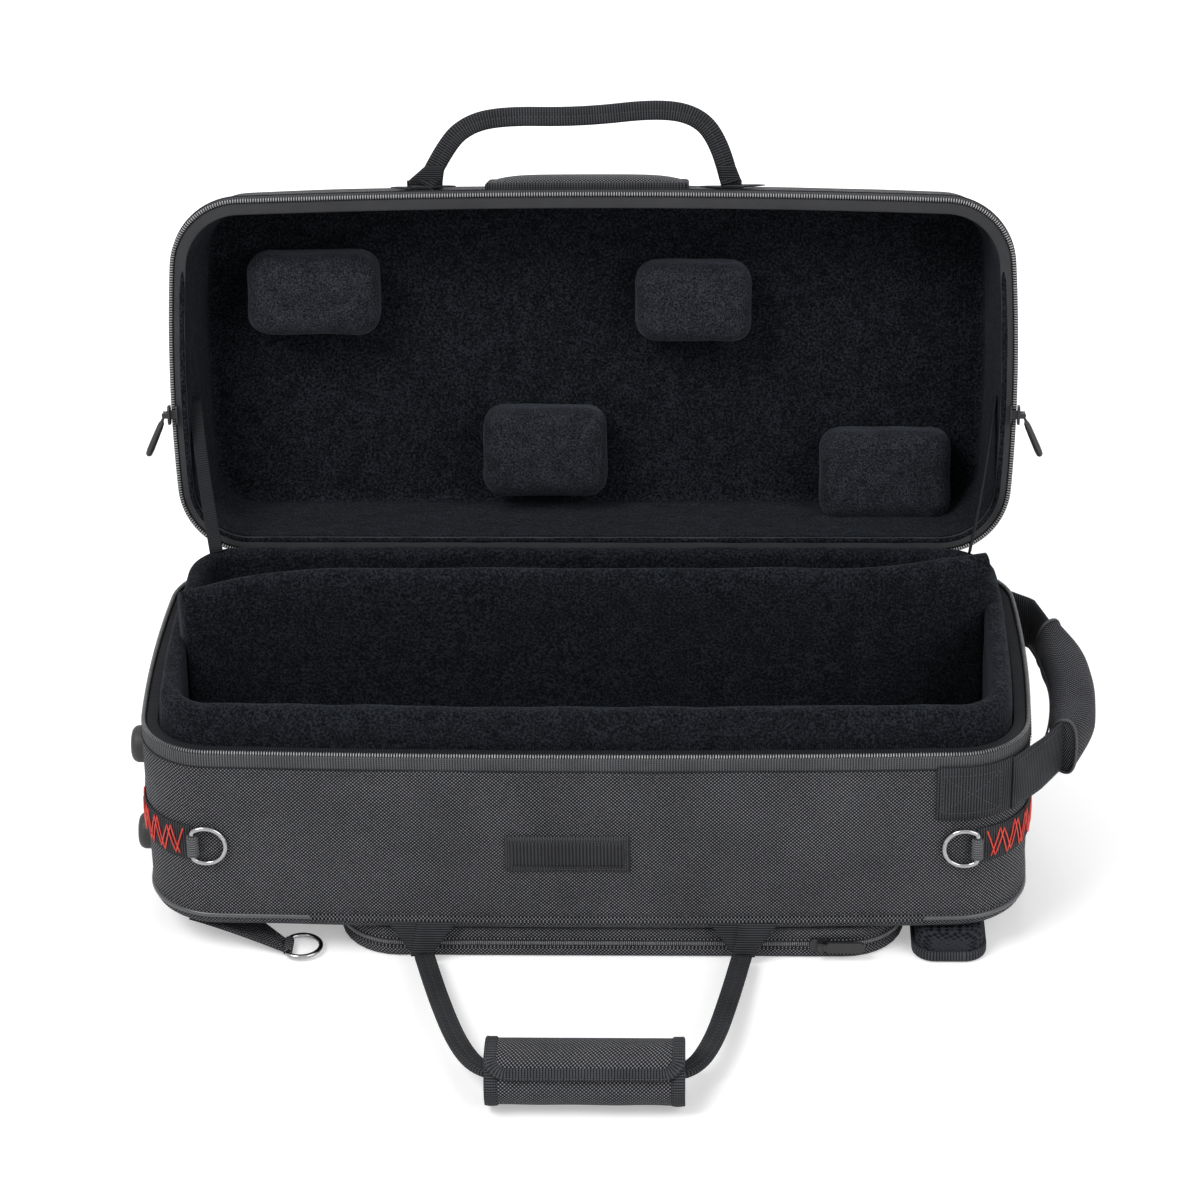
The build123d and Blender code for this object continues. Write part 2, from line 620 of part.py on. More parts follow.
def shoulder_strap(side):
    """The padded end of a shoulder strap, tucked between the base and the floor."""
    far, near = FRONT_Y - STRAP_PROUD, FRONT_Y + STRAP_REACH
    pad = block(STRAP_LEFT, STRAP_RIGHT, far, near, RUNNING_GAP, STAND_HEIGHT - RUNNING_GAP)
    pad = fillet(pad.edges().filter_by(Axis.Z), STRAP_CORNER)
    pad = round_edges(pad, 0, STRAP_EDGE)
    return pad if side < 0 else mirror(pad, Plane.XZ)


def strap_wing(side):
    """A nylon tab that slopes down from the base's underside, its tip folded round a ring's bar."""
    top_z = STAND_HEIGHT - RUNNING_GAP - WING / 2
    fall, run = top_z - STRAP_RING_Z, STRAP_BAR_X - WING_LEFT
    length, half = (fall ** 2 + run ** 2) ** 0.5, bar_length(STRAP_RING_RADIUS, STRAP_RING_CHORD) / 2
    face = Polygon((0, WING_FAR), (0, WING_NEAR), (length, STRAP_RING_INSET - half),
                   (length, STRAP_RING_INSET + half), align=None)
    place = Pos(WING_LEFT, FRONT_Y, top_z) * Rot(0, degrees(atan2(fall, run)), 0)
    bar = Pos(STRAP_BAR_X, STRAP_BAR_Y, STRAP_RING_Z) * Rot(90, 0, 0)
    wing = place * extrude(face, WING / 2, both=True) + bar * Cylinder(RING_BORE + WING / 2, 2 * half)
    wing -= bar * Cylinder(RING_BORE, 4 * half)
    return wing if side < 0 else mirror(wing, Plane.XZ)


def strap_ring(side):
    """It lies flat, just off the floor, in the wing's tip."""
    ring = Rot(0, 0, 180) * wire_ring(STRAP_RING_RADIUS, STRAP_RING_CHORD, RING_WIRE)
    ring = Pos(STRAP_BAR_X + STRAP_RING_CHORD, STRAP_BAR_Y, STRAP_RING_Z) * ring
    return ring if side < 0 else mirror(ring, Plane.XZ)


# ---------- the lid, drawn shut ----------

def hollow_cap(low, inset, wall, top, edge):
    """A leaning cap, open below, with a round edge about its roof."""
    start = inset + (low - RIM_Z) * LEAN
    outside = round_edges(leaning(start, low, top), -1, edge)
    inside = round_edges(leaning(start - LEAN + wall, low - 1, top - wall), -1,
                         max(edge - wall, LEAST_ROUND))
    return outside - inside


def lid_cover():
    return hollow_cap(RIM_Z + TAPE_WIDTH + LAYER_GAP, 0, COVER, ROOF_Z, ROOF_RADIUS)


def lid_board():
    return hollow_cap(RIM_Z + TAPE_WIDTH / 2, BOARD_INSET, BOARD, ROOF_Z - BOARD_INSET,
                      ROOF_RADIUS - BOARD_INSET)


def lid_lining():
    return hollow_cap(RIM_Z + COIL_HEIGHT + BINDING + LAYER_GAP, INNER_INSET, LINING,
                      ROOF_Z - INNER_INSET, ROOF_RADIUS - INNER_INSET)


def lid_pad(x0, x1, near, far, depth):
    """A plush pad under the roof, which holds an instrument down in its bay."""
    pad = block(x0, x1, HINGE_Y - far, HINGE_Y - near, CEILING_Z - depth, CEILING_Z - LAYER_GAP)
    pad = round_edges(fillet(pad.edges().filter_by(Axis.Z), PAD_CORNER), 0, PAD_EDGE)
    lined = leaning(INNER_INSET + LINING + LAYER_GAP, RIM_Z, CEILING_Z)
    return pad & round_edges(lined, -1, ROOF_RADIUS - INNER_INSET - LINING)


def lid_panel():
    """A padded panel on the lid's front wall, behind the handle."""
    low, high = RIM_Z + PANEL_LOW, RIM_Z + PANEL_HIGH
    inner = PANEL_LOW * LEAN
    slab = leaning(inner - PANEL, low, high) - leaning(inner - LAYER_GAP, low, high)
    return slab & block(PANEL_LEFT, PANEL_RIGHT, 2 * FRONT_Y, 0, low, high)


def lid_feet():
    wall = leaning(-LAYER_GAP, RIM_Z, ROOF_Z)
    return [end_foot(y, RIM_Z + w, w * LEAN) - wall for y, w in LID_FEET]


def stay(side):
    """A strap from the insert's rear corner up to the end wall of the open lid."""
    along, into = STAY_TOP
    tilt = radians(LID_OPEN - 90)
    top_x = end_x(HINGE_Y - along) - INNER_INSET - LINING - into * LEAN - STAY_INSIDE
    top = Vector(side * top_x, HINGE_Y + along * sin(tilt) + into * cos(tilt),
                 RIM_Z + along * cos(tilt) - into * sin(tilt))
    foot = Vector(side * STAY_FOOT[0], STAY_FOOT[1], RIM_Z + INSERT_RISE + 2 * RUNNING_GAP)
    run = top - foot
    across = Vector(1, 0, 0) - run * (run.X / run.length ** 2)
    place = Plane(origin=foot + run / 2, x_dir=across, z_dir=run)
    strap = place * Box(STAY_THICK, STAY_WIDE, run.length + STAY_WIDE)
    return strap & block(-END_X, END_X, 0, 2 * CASE_DEPTH, foot.Z, top.Z)


# ---------- zip sliders ----------
# Each is drawn with its travel along X, the coil's face at Z = 0 and the outside above it.

def rounded_plate(length, wide, corner, low, thick):
    return Pos(0, 0, low) * extrude(RectangleRounded(length, wide, corner), thick)


def slider(wraps_coil):
    """A plate with two lugs and a pin; on the main zip also a post and an inner plate."""
    lug_y = PULL_WIDE / 2 - LUG / 2
    top = RUNNING_GAP + SLIDER_PLATE
    body = rounded_plate(SLIDER_LENGTH, SLIDER_WIDE, SLIDER_CORNER, RUNNING_GAP, SLIDER_PLATE)
    lug = block(-LUG_LENGTH / 2, LUG_LENGTH / 2, -LUG / 2, LUG / 2, top, PIN_Z + PIN_RADIUS + LUG_COVER)
    body += Pos(0, -lug_y, 0) * lug + Pos(0, lug_y, 0) * lug
    body += Pos(0, 0, PIN_Z) * Rot(90, 0, 0) * Cylinder(PIN_RADIUS, 2 * lug_y)
    if wraps_coil:
        back = -COIL_WIDTH - RUNNING_GAP
        body += block(-POST_LENGTH / 2, POST_LENGTH / 2, -SLIDER_POST / 2, SLIDER_POST / 2,
                      back, RUNNING_GAP)
        body += rounded_plate(SLIDER_LENGTH, INNER_PLATE, INNER_CORNER, back - LUG, LUG)
    return body


def pull(angle):
    """A rubber tab that swings on the slider's pin."""
    half = PULL_WIDE / 2 - LUG - LAYER_GAP
    bore = PIN_RADIUS + LAYER_GAP
    eye = Rot(90, 0, 0) * Cylinder(bore + EYE_WALL, 2 * half)
    neck = block(0, PULL_NECK, -half, half, -PULL / 2 + LAYER_GAP, PULL / 2 - LAYER_GAP)
    tab = rounded_plate(PULL_LENGTH - PULL_START, PULL_WIDE, PULL_CORNER, -PULL / 2, PULL)
    tab = Pos((PULL_LENGTH + PULL_START) / 2, 0, 0) * tab
    shape = eye + neck + tab - Rot(90, 0, 0) * Cylinder(bore, PULL_WIDE)
    return Pos(0, 0, PIN_Z) * Rot(0, -angle, 0) * shape


def main_zip_place(side):
    """On the lid's coil, part of the way along an end, drawn with the lid shut."""
    y = HINGE_Y - MAIN_SLIDER_RUN
    slope = -side * 2 * END_BOW * y / BACK_Y ** 2
    face = end_x(y) - COIL_INSET
    return Plane(origin=(side * face, y, RIM_Z), x_dir=(slope, 1, 0), z_dir=(side, -slope * side, 0))


def pocket_zip_place(front_y, z, turned):
    y = front_y + LAYER_GAP
    return Plane(origin=(POCKET_SLIDER_X, y, z), x_dir=(-1 if turned else 1, 0, 0), z_dir=(0, -1, 0))


# ---------- build ----------

def base_pieces():
    yield "base_bottom", base_bottom()
    yield "base_piping", base_piping()
    yield "base_cover", base_cover()
    yield "base_board", base_board()
    yield "base_zip_tape", zip_tape()
    yield "base_zip_coil", zip_coil()
    yield "base_rim_binding", rim_binding()
    yield "base_insert", base_insert()
    yield "bay_divider", bay_divider()
    yield "base_hinge_strip", fabric_hinge(False)
    yield "hook_patch", hook_patch()
    yield "base_end_feet", base_feet()
    yield "side_handle_tails", side_tails()
    yield "side_handle_strap", side_strap()
    yield "side_handle_grip", side_grip()
    yield "front_handle_tabs", front_anchors()
    yield "front_handle_strap", front_place() * handle_strap(FRONT_ROUTE)
    yield "handle_grip_wrap", grip_wrap()
    yield "handle_grip_flap", grip_flap()
    yield "bottom_pocket", bottom_pocket()
    yield "bottom_pocket_zip", pocket_zip(pocket_outline, POCKET_ZIP_Z)
    for word, side in (("left", -1), ("right", 1)):
        yield f"d_ring_{word}", d_ring(side)
        yield f"d_ring_tab_{word}", d_ring_tab(side)
        yield f"lid_stay_{word}", stay(side)
    for word, side in (("front", -1), ("rear", 1)):
        yield f"shoulder_strap_{word}", shoulder_strap(side)
        yield f"strap_wing_{word}", strap_wing(side)
        yield f"strap_ring_{word}", strap_ring(side)
    place = pocket_zip_place(FRONT_Y + POCKET_INSET, POCKET_ZIP_Z + POCKET_ZIP / 2, False)
    yield "bottom_pocket_slider", place * slider(False)
    yield "bottom_pocket_pull", place * pull(0)


def lid_pieces():
    yield "lid_cover", lid_cover()
    yield "lid_board", lid_board()
    yield "lid_lining", lid_lining()
    yield "lid_zip_tape", on_lid(zip_tape())
    yield "lid_zip_coil", on_lid(zip_coil())
    yield "lid_rim_binding", on_lid(rim_binding())
    yield "lid_hinge_strip", fabric_hinge(True)
    for number, pad in enumerate(LID_PADS, 1):
        yield f"lid_pad_{number}", lid_pad(*pad)
    yield "lid_panel", lid_panel()
    yield "lid_handle_tabs", lid_anchors()
    yield "lid_handle_strap", lid_handle()
    yield "lid_end_feet", lid_feet()
    yield "roof_pocket", roof_pocket()
    yield "roof_pocket_zip", pocket_zip(roof_outline, ROOF_ZIP_Z)
    for word, side in (("left", -1), ("right", 1)):
        place = main_zip_place(side)
        yield f"main_slider_{word}", place * slider(True)
        yield f"main_pull_{word}", place * pull(PULL_HANG)
    place = pocket_zip_place(ROOF_POCKET_FRONT, ROOF_ZIP_Z + POCKET_ZIP / 2, True)
    yield "roof_pocket_slider", place * slider(False)
    yield "roof_pocket_pull", place * pull(0)


def save(name, shape):
    solids = shape if isinstance(shape, list) else [shape]
    export_step(Compound([solid for part in solids for solid in part.solids()]),
                f"parts/{name}.step")


def main():
    for name, shape in base_pieces():
        save(name, shape)
    for name, shape in lid_pieces():
        parts = shape if isinstance(shape, list) else [shape]
        save(name, [opened(part) for part in parts])


main()
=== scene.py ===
# %% [markdown]
# A soft case for two trumpets, standing open on a studio floor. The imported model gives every
# piece its true size and place. The foam, cloth, webbing and zips that a person sees are built
# over it here, piece by piece, each from the line it is sewn along.

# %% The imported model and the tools
import bmesh
import bpy
import json
import numpy as np
from math import atan2, cos, degrees, pi, radians, sin, sqrt, tan
from mathutils import Matrix, Vector, noise
from mathutils.geometry import delaunay_2d_cdt

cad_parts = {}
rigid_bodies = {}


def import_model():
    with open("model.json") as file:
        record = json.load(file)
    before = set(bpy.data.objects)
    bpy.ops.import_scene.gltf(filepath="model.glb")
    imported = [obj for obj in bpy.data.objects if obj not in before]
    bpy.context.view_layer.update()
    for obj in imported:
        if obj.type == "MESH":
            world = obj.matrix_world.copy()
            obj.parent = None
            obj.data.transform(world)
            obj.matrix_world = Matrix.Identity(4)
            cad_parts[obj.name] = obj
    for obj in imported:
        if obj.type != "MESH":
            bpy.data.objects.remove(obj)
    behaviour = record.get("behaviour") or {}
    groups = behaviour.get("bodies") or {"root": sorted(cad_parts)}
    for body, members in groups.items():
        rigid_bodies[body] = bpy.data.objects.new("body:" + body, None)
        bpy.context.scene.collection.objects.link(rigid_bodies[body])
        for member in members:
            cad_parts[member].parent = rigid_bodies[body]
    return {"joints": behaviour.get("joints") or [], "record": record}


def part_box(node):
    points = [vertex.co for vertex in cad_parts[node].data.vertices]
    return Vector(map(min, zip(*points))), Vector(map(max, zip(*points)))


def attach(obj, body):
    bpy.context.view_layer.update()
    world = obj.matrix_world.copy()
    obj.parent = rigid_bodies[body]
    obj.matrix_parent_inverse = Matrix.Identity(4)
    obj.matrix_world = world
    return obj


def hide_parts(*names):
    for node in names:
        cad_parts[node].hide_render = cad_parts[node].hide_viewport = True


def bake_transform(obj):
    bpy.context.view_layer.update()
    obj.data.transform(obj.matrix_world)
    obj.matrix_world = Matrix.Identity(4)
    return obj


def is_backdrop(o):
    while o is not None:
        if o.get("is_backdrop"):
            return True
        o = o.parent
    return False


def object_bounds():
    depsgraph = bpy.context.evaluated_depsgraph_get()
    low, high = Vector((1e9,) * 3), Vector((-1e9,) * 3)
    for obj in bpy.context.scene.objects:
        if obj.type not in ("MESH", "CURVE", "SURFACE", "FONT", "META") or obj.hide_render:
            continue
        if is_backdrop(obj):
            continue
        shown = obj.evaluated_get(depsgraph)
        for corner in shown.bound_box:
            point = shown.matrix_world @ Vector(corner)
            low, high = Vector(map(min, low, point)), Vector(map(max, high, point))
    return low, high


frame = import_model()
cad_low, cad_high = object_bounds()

MM = 0.001
JOINTS = {joint["name"]: joint for joint in frame["joints"]}

# %% [markdown]
# Most of the case follows one line: its outline seen from above, with a straight back, a front
# and ends that bow out, and round corners. The real maker has one pattern for it too. The size
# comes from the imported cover, and the hinge line from the lid's joint.

# %% Sizes that everything follows
cover_low, cover_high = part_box("base_cover")
END, FRONT, BACK = cover_high.x, cover_low.y, cover_high.y
HINGE = Vector(JOINTS["lid_hinge"]["pos_m"])
OPEN = radians(JOINTS["lid_hinge"]["range_deg"][1])
RIM = HINGE.z
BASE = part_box("base_bottom")[0].z
ROOF = RIM + 88 * MM                    # the lid is this deep
CORNER = 48 * MM                        # radius of the round corners, seen from above
FRONT_BOW, END_BOW = 6 * MM, 7 * MM     # how far the front and the ends bow out
LEAN = tan(radians(6))                  # the lid's walls lean in by this share of their height
HINGE_HALF = 216 * MM                   # half the width of the cloth hinge
TAPE = 12 * MM                          # from the rim to the cover: half of the zip
THICK = 1.6 * MM                        # the cover's cloth with its backing
print("ends at", round(END, 4), "rim at", round(RIM, 4), "lid opens", round(OPEN, 3))


# %% The bowed front and ends, and the round corners
def front_line_y(x):
    """Where the bowed front lies at a place along it."""
    return FRONT + FRONT_BOW * (x / (END - END_BOW)) ** 2


def end_line(y):
    """Where the bowed right end lies at a place along it."""
    return END - END_BOW * (y / BACK) ** 2


def corner_arc(side_y, steps):
    """A round corner on the right: points with their normals, from the end to the side."""
    centre = Vector((END - CORNER, side_y * (BACK - CORNER)))
    for _ in range(20):
        end_slope = 2 * END_BOW * centre.y / BACK ** 2
        centre.x = end_line(centre.y) - CORNER * sqrt(1 + end_slope ** 2)
        if side_y < 0:
            slope = 2 * FRONT_BOW * centre.x / (END - END_BOW) ** 2
            centre.y = front_line_y(centre.x) + CORNER * sqrt(1 + slope ** 2)
        else:
            slope, centre.y = 0, BACK - CORNER
    start = atan2(end_slope, 1)
    stop = side_y * pi / 2 + (atan2(slope, 1) if side_y < 0 else 0)
    turns = [start + (stop - start) * k / steps for k in range(steps + 1)]
    return [(centre + CORNER * Vector((cos(t), sin(t))), Vector((cos(t), sin(t)))) for t in turns]


def bow_points(bow, start, stop, steps, on_end):
    """Points with their normals on a bowed line, without its two ends."""
    out = []
    for k in range(1, steps):
        t = start + (stop - start) * k / steps
        value, rise = bow(t), (bow(t + MM) - bow(t - MM)) / (2 * MM)
        if on_end:
            out.append((Vector((value, t)), Vector((1, -rise)).normalized()))
        else:
            out.append((Vector((t, value)), Vector((rise, -1)).normalized()))
    return out


print("bows:", FRONT_BOW, "and", END_BOW, "corners:", CORNER)

# %% The whole outline
CORNER_STEPS, END_STEPS, LONG_STEPS = 24, 50, 80


def outline_line():
    """Half the outline clockwise from the middle of the back, then its mirror image."""
    back, front = corner_arc(1, CORNER_STEPS)[::-1], corner_arc(-1, CORNER_STEPS)
    half = [(Vector((back[0][0].x * k / LONG_STEPS, BACK)), Vector((0, 1))) for k in range(LONG_STEPS)]
    half += back
    half += bow_points(end_line, back[-1][0].y, front[0][0].y, END_STEPS, True)
    half += front
    half += bow_points(front_line_y, front[-1][0].x, 0, LONG_STEPS, False)
    half.append((Vector((0, FRONT)), Vector((0, -1))))
    other = [(Vector((-p.x, p.y)), Vector((-n.x, n.y))) for p, n in half[-2:0:-1]]
    return half + other


OUTLINE = outline_line()
OUTLINE_POINTS = np.array([p for p, _ in OUTLINE] + [OUTLINE[0][0]])
OUTLINE_NORMALS = np.array([n for _, n in OUTLINE] + [OUTLINE[0][1]])
OUTLINE_RUN = np.concatenate([[0], np.cumsum(np.linalg.norm(np.diff(OUTLINE_POINTS, axis=0), axis=1))])
ROUND = OUTLINE_RUN[-1]


def at(s):
    """The outline's point and outward normal at a distance along it from the middle of the back."""
    s = s % ROUND
    p = Vector([np.interp(s, OUTLINE_RUN, OUTLINE_POINTS[:, k]) for k in range(2)])
    n = Vector([np.interp(s, OUTLINE_RUN, OUTLINE_NORMALS[:, k]) for k in range(2)]).normalized()
    return p, n


print("round the outline:", round(ROUND, 4), "m")

# %% [markdown]
# Every sewn piece is a mesh written out as points and faces. Simple shapes under modifiers could
# give many of them, but these meshes carry a flat map in metres, so that a weave has the same
# scale on each piece. The lid's pieces are drawn shut, as their patterns are, and every point is
# then swung open about the hinge.

# %% A mesh with its finish and its body
SWING = Matrix.Translation(HINGE) @ Matrix.Rotation(-OPEN, 4, "X") @ Matrix.Translation(-HINGE)


def opened(point):
    """Where a point of the shut lid lies when the lid is open."""
    return SWING @ Vector(point)


def fix_normals(mesh):
    """Makes every face look outwards."""
    work = bmesh.new()
    work.from_mesh(mesh)
    bmesh.ops.recalc_face_normals(work, faces=work.faces)
    work.to_mesh(mesh)
    work.free()


def make(name, verts, faces, uvs, material, body, lid=False):
    """A mesh object with its map in metres, its finish and the body it rides on."""
    if lid:
        verts = [opened(v) for v in verts]
    mesh = bpy.data.meshes.new(name)
    mesh.from_pydata([tuple(v) for v in verts], [], faces)
    if uvs is not None:
        layer = mesh.uv_layers.new(name="cloth")
        flat = np.array([uv for face in uvs for uv in face], dtype=np.float32)
        layer.data.foreach_set("uv", flat.ravel())
    mesh.polygons.foreach_set("use_smooth", [True] * len(mesh.polygons))
    mesh.materials.append(material)
    piece = bpy.data.objects.new(name, mesh)
    bpy.context.scene.collection.objects.link(piece)
    fix_normals(mesh)
    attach(piece, body)
    return piece


def ripple(piece, depth, size, seed=0.0):
    """Soft unevenness: each point moves along its normal by smooth noise."""
    mesh = piece.data
    normals = [v.normal.copy() for v in mesh.vertices]
    for v, n in zip(mesh.vertices, normals):
        v.co += n * depth * noise.noise(v.co / size + Vector((seed, seed, seed)))
    mesh.update()


print("lid swings", round(degrees(OPEN), 1), "degrees")


# %% Counting along lines and round rings
def distances(points, closed=False):
    """How far along a line each of its points lies."""
    run = [0.0]
    for a, b in zip(points, points[1:] + (points[:1] if closed else [])):
        run.append(run[-1] + (b - a).length)
    return run


def quads(rings, sides, closed=False):
    """Faces between rings of points that are numbered one ring after the other."""
    faces = []
    for r in range(rings if closed else rings - 1):
        here, there = r * sides, (r + 1) % rings * sides
        for k in range(sides):
            m = (k + 1) % sides
            faces.append((here + k, here + m, there + m, there + k))
    return faces


def flat_quads(along, around):
    """Those faces on the flat map, from how far along and around their points lie."""
    return [((a, c), (a, d), (b, d), (b, c)) for a, b in zip(along, along[1:])
            for c, d in zip(around, around[1:])]


def turned(uvs):
    """The same map with its two directions exchanged."""
    return [tuple((v, u) for u, v in face) for face in uvs]


def quarter(steps, first=0):
    """Angles over a quarter turn in equal steps."""
    return [pi / 2 * k / steps for k in range(first, steps + 1)]


print("a ring of 8 and a ring of 8 join in", len(quads(2, 8)), "faces")

# %% [markdown]
# Nearly every sewn part is a strip of constant section that follows a line: tape, piping,
# webbing, a bound edge. Extruded curves could make them, but they lose the map. One helper takes
# a frame at each step of the line instead, which is a point, a way across and a way up, and
# carries the section through them.


# %% Strips along a line
def sweep(name, frames, section, material, body, closed=False, lid=False):
    """A closed section, given as (across, up) pairs, swept through (origin, across, up) frames."""
    count, stations = len(section), len(frames)
    verts = [o + a * x + b * y for o, a, b in frames for x, y in section]
    faces = quads(stations, count, closed)
    uvs = flat_quads(distances([o for o, _, _ in frames], closed),
                     distances([Vector(p) for p in section], True))
    if not closed:
        for k, turn in ((0, 1), (stations - 1, -1)):
            ring = [k * count + j for j in range(count)][::turn]
            faces.append(tuple(ring))
            uvs.append(tuple(section[j % count] for j in ring))
    return make(name, verts, faces, uvs, material, body, lid)


print("a strip of 3 frames and 4 sides has", len(quads(3, 4)) + 2, "faces")


# %% Frames along lines
def outline_frames(out=0.0, step=4 * MM, start=None, stop=None):
    """Frames round the outline, or along a stretch of it, with the section's height upwards."""
    length = ROUND if start is None else stop - start
    count = max(2, round(length / step))
    frames = []
    for k in range(count if start is None else count + 1):
        p, n = at((start or 0) + length * k / count)
        frames.append((Vector((p.x + n.x * out, p.y + n.y * out, 0)),
                       Vector((n.x, n.y, 0)), Vector((0, 0, 1))))
    return frames


def strap_frames(line, up):
    """Frames along a line for a strap whose flat face looks along up, or along each up given."""
    frames = []
    for k, point in enumerate(line):
        ahead = line[min(k + 1, len(line) - 1)] - line[max(k - 1, 0)]
        face = Vector(up[k] if isinstance(up, list) else up)
        across = ahead.cross(face).normalized()
        frames.append((point, across, across.cross(ahead).normalized()))
    return frames


def shifted(frames, across, up):
    """The same frames, moved across and up."""
    return [(o + a * across + b * up, a, b) for o, a, b in frames]


def soft_route(points, steps=8):
    """A smooth line that rounds the corners of a route, as webbing does."""
    points = [Vector(p) for p in points]
    middles = [(a + b) / 2 for a, b in zip(points, points[1:])]
    line = [points[0].lerp(middles[0], k / steps) for k in range(steps)]
    for start, knee, stop in zip(middles, points[1:-1], middles[1:]):
        for k in range(steps):
            t = k / steps
            line.append(start * (1 - t) ** 2 + knee * 2 * t * (1 - t) + stop * t * t)
    return line + [middles[-1].lerp(points[-1], k / steps) for k in range(steps + 1)]


print("frames round the outline:", len(outline_frames()))


# %% Sections of strips
def dense(points, step=4 * MM):
    """The same closed line with points added on its long stretches."""
    out = []
    for a, b in zip(points, points[1:] + points[:1]):
        parts = max(1, round((Vector(b) - Vector(a)).length / step))
        out += [tuple(Vector(a).lerp(Vector(b), k / parts)) for k in range(parts)]
    return out


def rounded(wide, thick, corner=None, steps=3, across=0.0, up=0.0):
    """A strap's section: a rectangle with round corners, by its full width and thickness."""
    corner = min(wide, thick) * 0.45 if corner is None else corner
    points = []
    for cx, cy, start in ((1, 1, 0), (-1, 1, 90), (-1, -1, 180), (1, -1, 270)):
        for k in range(steps + 1):
            t = radians(start + 90 * k / steps)
            points.append((across + cx * (wide / 2 - corner) + corner * cos(t),
                           up + cy * (thick / 2 - corner) + corner * sin(t)))
    return dense(points)


def oval(across, up, wide, tall, steps=14):
    """A cord's section round a middle, by its half width and half height."""
    return [(across + wide * cos(2 * pi * k / steps), up + tall * sin(2 * pi * k / steps))
            for k in range(steps)]


def squared(value, power):
    """Brings a cosine or sine nearer to 1 or -1, which turns an oval into a fuller form."""
    return abs(value) ** power * (1 if value >= 0 else -1)


print("a strap's section has", len(rounded(13 * MM, 5 * MM)), "points")

# %% [markdown]
# The covers are bowls: rings of points that follow the outline, from the inside of a wall over
# its edge to the outside, with a flat sheet at both ends. A grid of points inside each sheet
# lets it ripple like the walls. A cube pushed into shape would do for a plain tub, but not for
# walls that bow and lean.


# %% Flat sheets and slabs
def within(p, shape):
    """Whether a point lies inside a flat shape."""
    x, y = shape[:, 0], shape[:, 1]
    x2, y2 = np.roll(x, -1), np.roll(y, -1)
    crossing = (y > p.y) != (y2 > p.y)
    with np.errstate(divide="ignore", invalid="ignore"):
        where = (x2 - x) * (p.y - y) / (y2 - y) + x
    return bool(np.sum(crossing & (p.x < where)) % 2)


def cap(verts, first, count, spacing):
    """Closes a ring of points with a flat sheet: adds the points inside it, returns the faces."""
    ring = verts[first:first + count]
    edge = [Vector((p.x, p.y)) for p in ring]
    xs, ys = [p.x for p in edge], [p.y for p in edge]
    shape, inside = np.array([tuple(p) for p in edge]), []
    for i in range(int((max(xs) - min(xs)) / spacing) + 1):
        for j in range(int((max(ys) - min(ys)) / spacing) + 1):
            p = Vector((min(xs) + i * spacing, min(ys) + j * spacing))
            if within(p, shape) and np.min(np.linalg.norm(shape - np.array(p), axis=1)) > spacing / 2:
                inside.append(p)
    found, _, triangles, _, _, _ = delaunay_2d_cdt(
        edge + inside, [], [list(range(count))], 1, 1e-7)
    place = list(range(first, first + count)) + [len(verts) + i for i in range(len(found) - count)]
    verts += [Vector((p.x, p.y, ring[0].z)) for p in found[count:]]
    return [tuple(place[i] for i in face) for face in triangles]


def slab(name, outline, low, high, material, body):
    """An upright block over any flat outline."""
    count = len(outline)
    verts = [Vector((p.x, p.y, z)) for z in (low, high) for p in outline]
    faces = quads(2, count)
    for first in (0, count):
        faces += cap(verts, first, count, 8 * MM)
    return make(name, verts, faces, None, material, body)


square = [Vector((x * 20 * MM, y * 20 * MM, 0)) for x, y in ((0, 0), (1, 0), (1, 1), (0, 1))]
print("a sheet over a 20 mm square has", len(cap(square, 0, 4, 6 * MM)), "faces")


# %% Bowls
def bowl(name, stations, profile, material, body, lid=False, spacing=6 * MM):
    """Rings round a loop of frames at each (inset, height), closed by a sheet at both ends."""
    count, rings = len(stations), len(profile)
    verts = [o - n * inset + Vector((0, 0, z)) for inset, z in profile for o, n, _ in stations]
    faces = quads(rings, count)
    uvs = turned(flat_quads(distances([Vector(p) for p in profile]),
                            distances([o for o, _, _ in stations], True)))
    for r in (0, rings - 1):
        sheet = cap(verts, r * count, count, spacing)
        faces += sheet
        uvs += [tuple((verts[i].x, verts[i].y) for i in face) for face in sheet]
    return make(name, verts, faces, uvs, material, body, lid)


def rounded_box(left, right, near, far, radius, step=5 * MM):
    """Frames round a rectangle with round corners, anticlockwise from above."""
    frames, arcs, up = [], [], Vector((0, 0, 1))
    for x, y, start in ((right, near, -90), (right, far, 0), (left, far, 90), (left, near, 180)):
        centre = Vector((x - radius if x == right else x + radius,
                         y - radius if y == far else y + radius, 0))
        arcs.append([(centre + radius * n, n) for n in
                     (Vector((cos(t), sin(t), 0)) for t in
                      (radians(start + 90 * k / 8) for k in range(9)))])
    for arc, after in zip(arcs, arcs[1:] + arcs[:1]):
        frames += [(p, n, up) for p, n in arc]
        (a, n), (b, _) = arc[-1], after[0]
        parts = int((b - a).length / step)
        frames += [(a.lerp(b, k / parts), n, up) for k in range(1, parts)]
    return frames


print("frames round a box of 100 mm:", len(rounded_box(0, 0.1, 0, 0.1, 20 * MM)))

# %% [markdown]
# Teeth and stitches are one small shape, placed again and again along a line. Instances on
# points could do it, but each row has to end up as one plain mesh, so the copies are written
# straight into it.


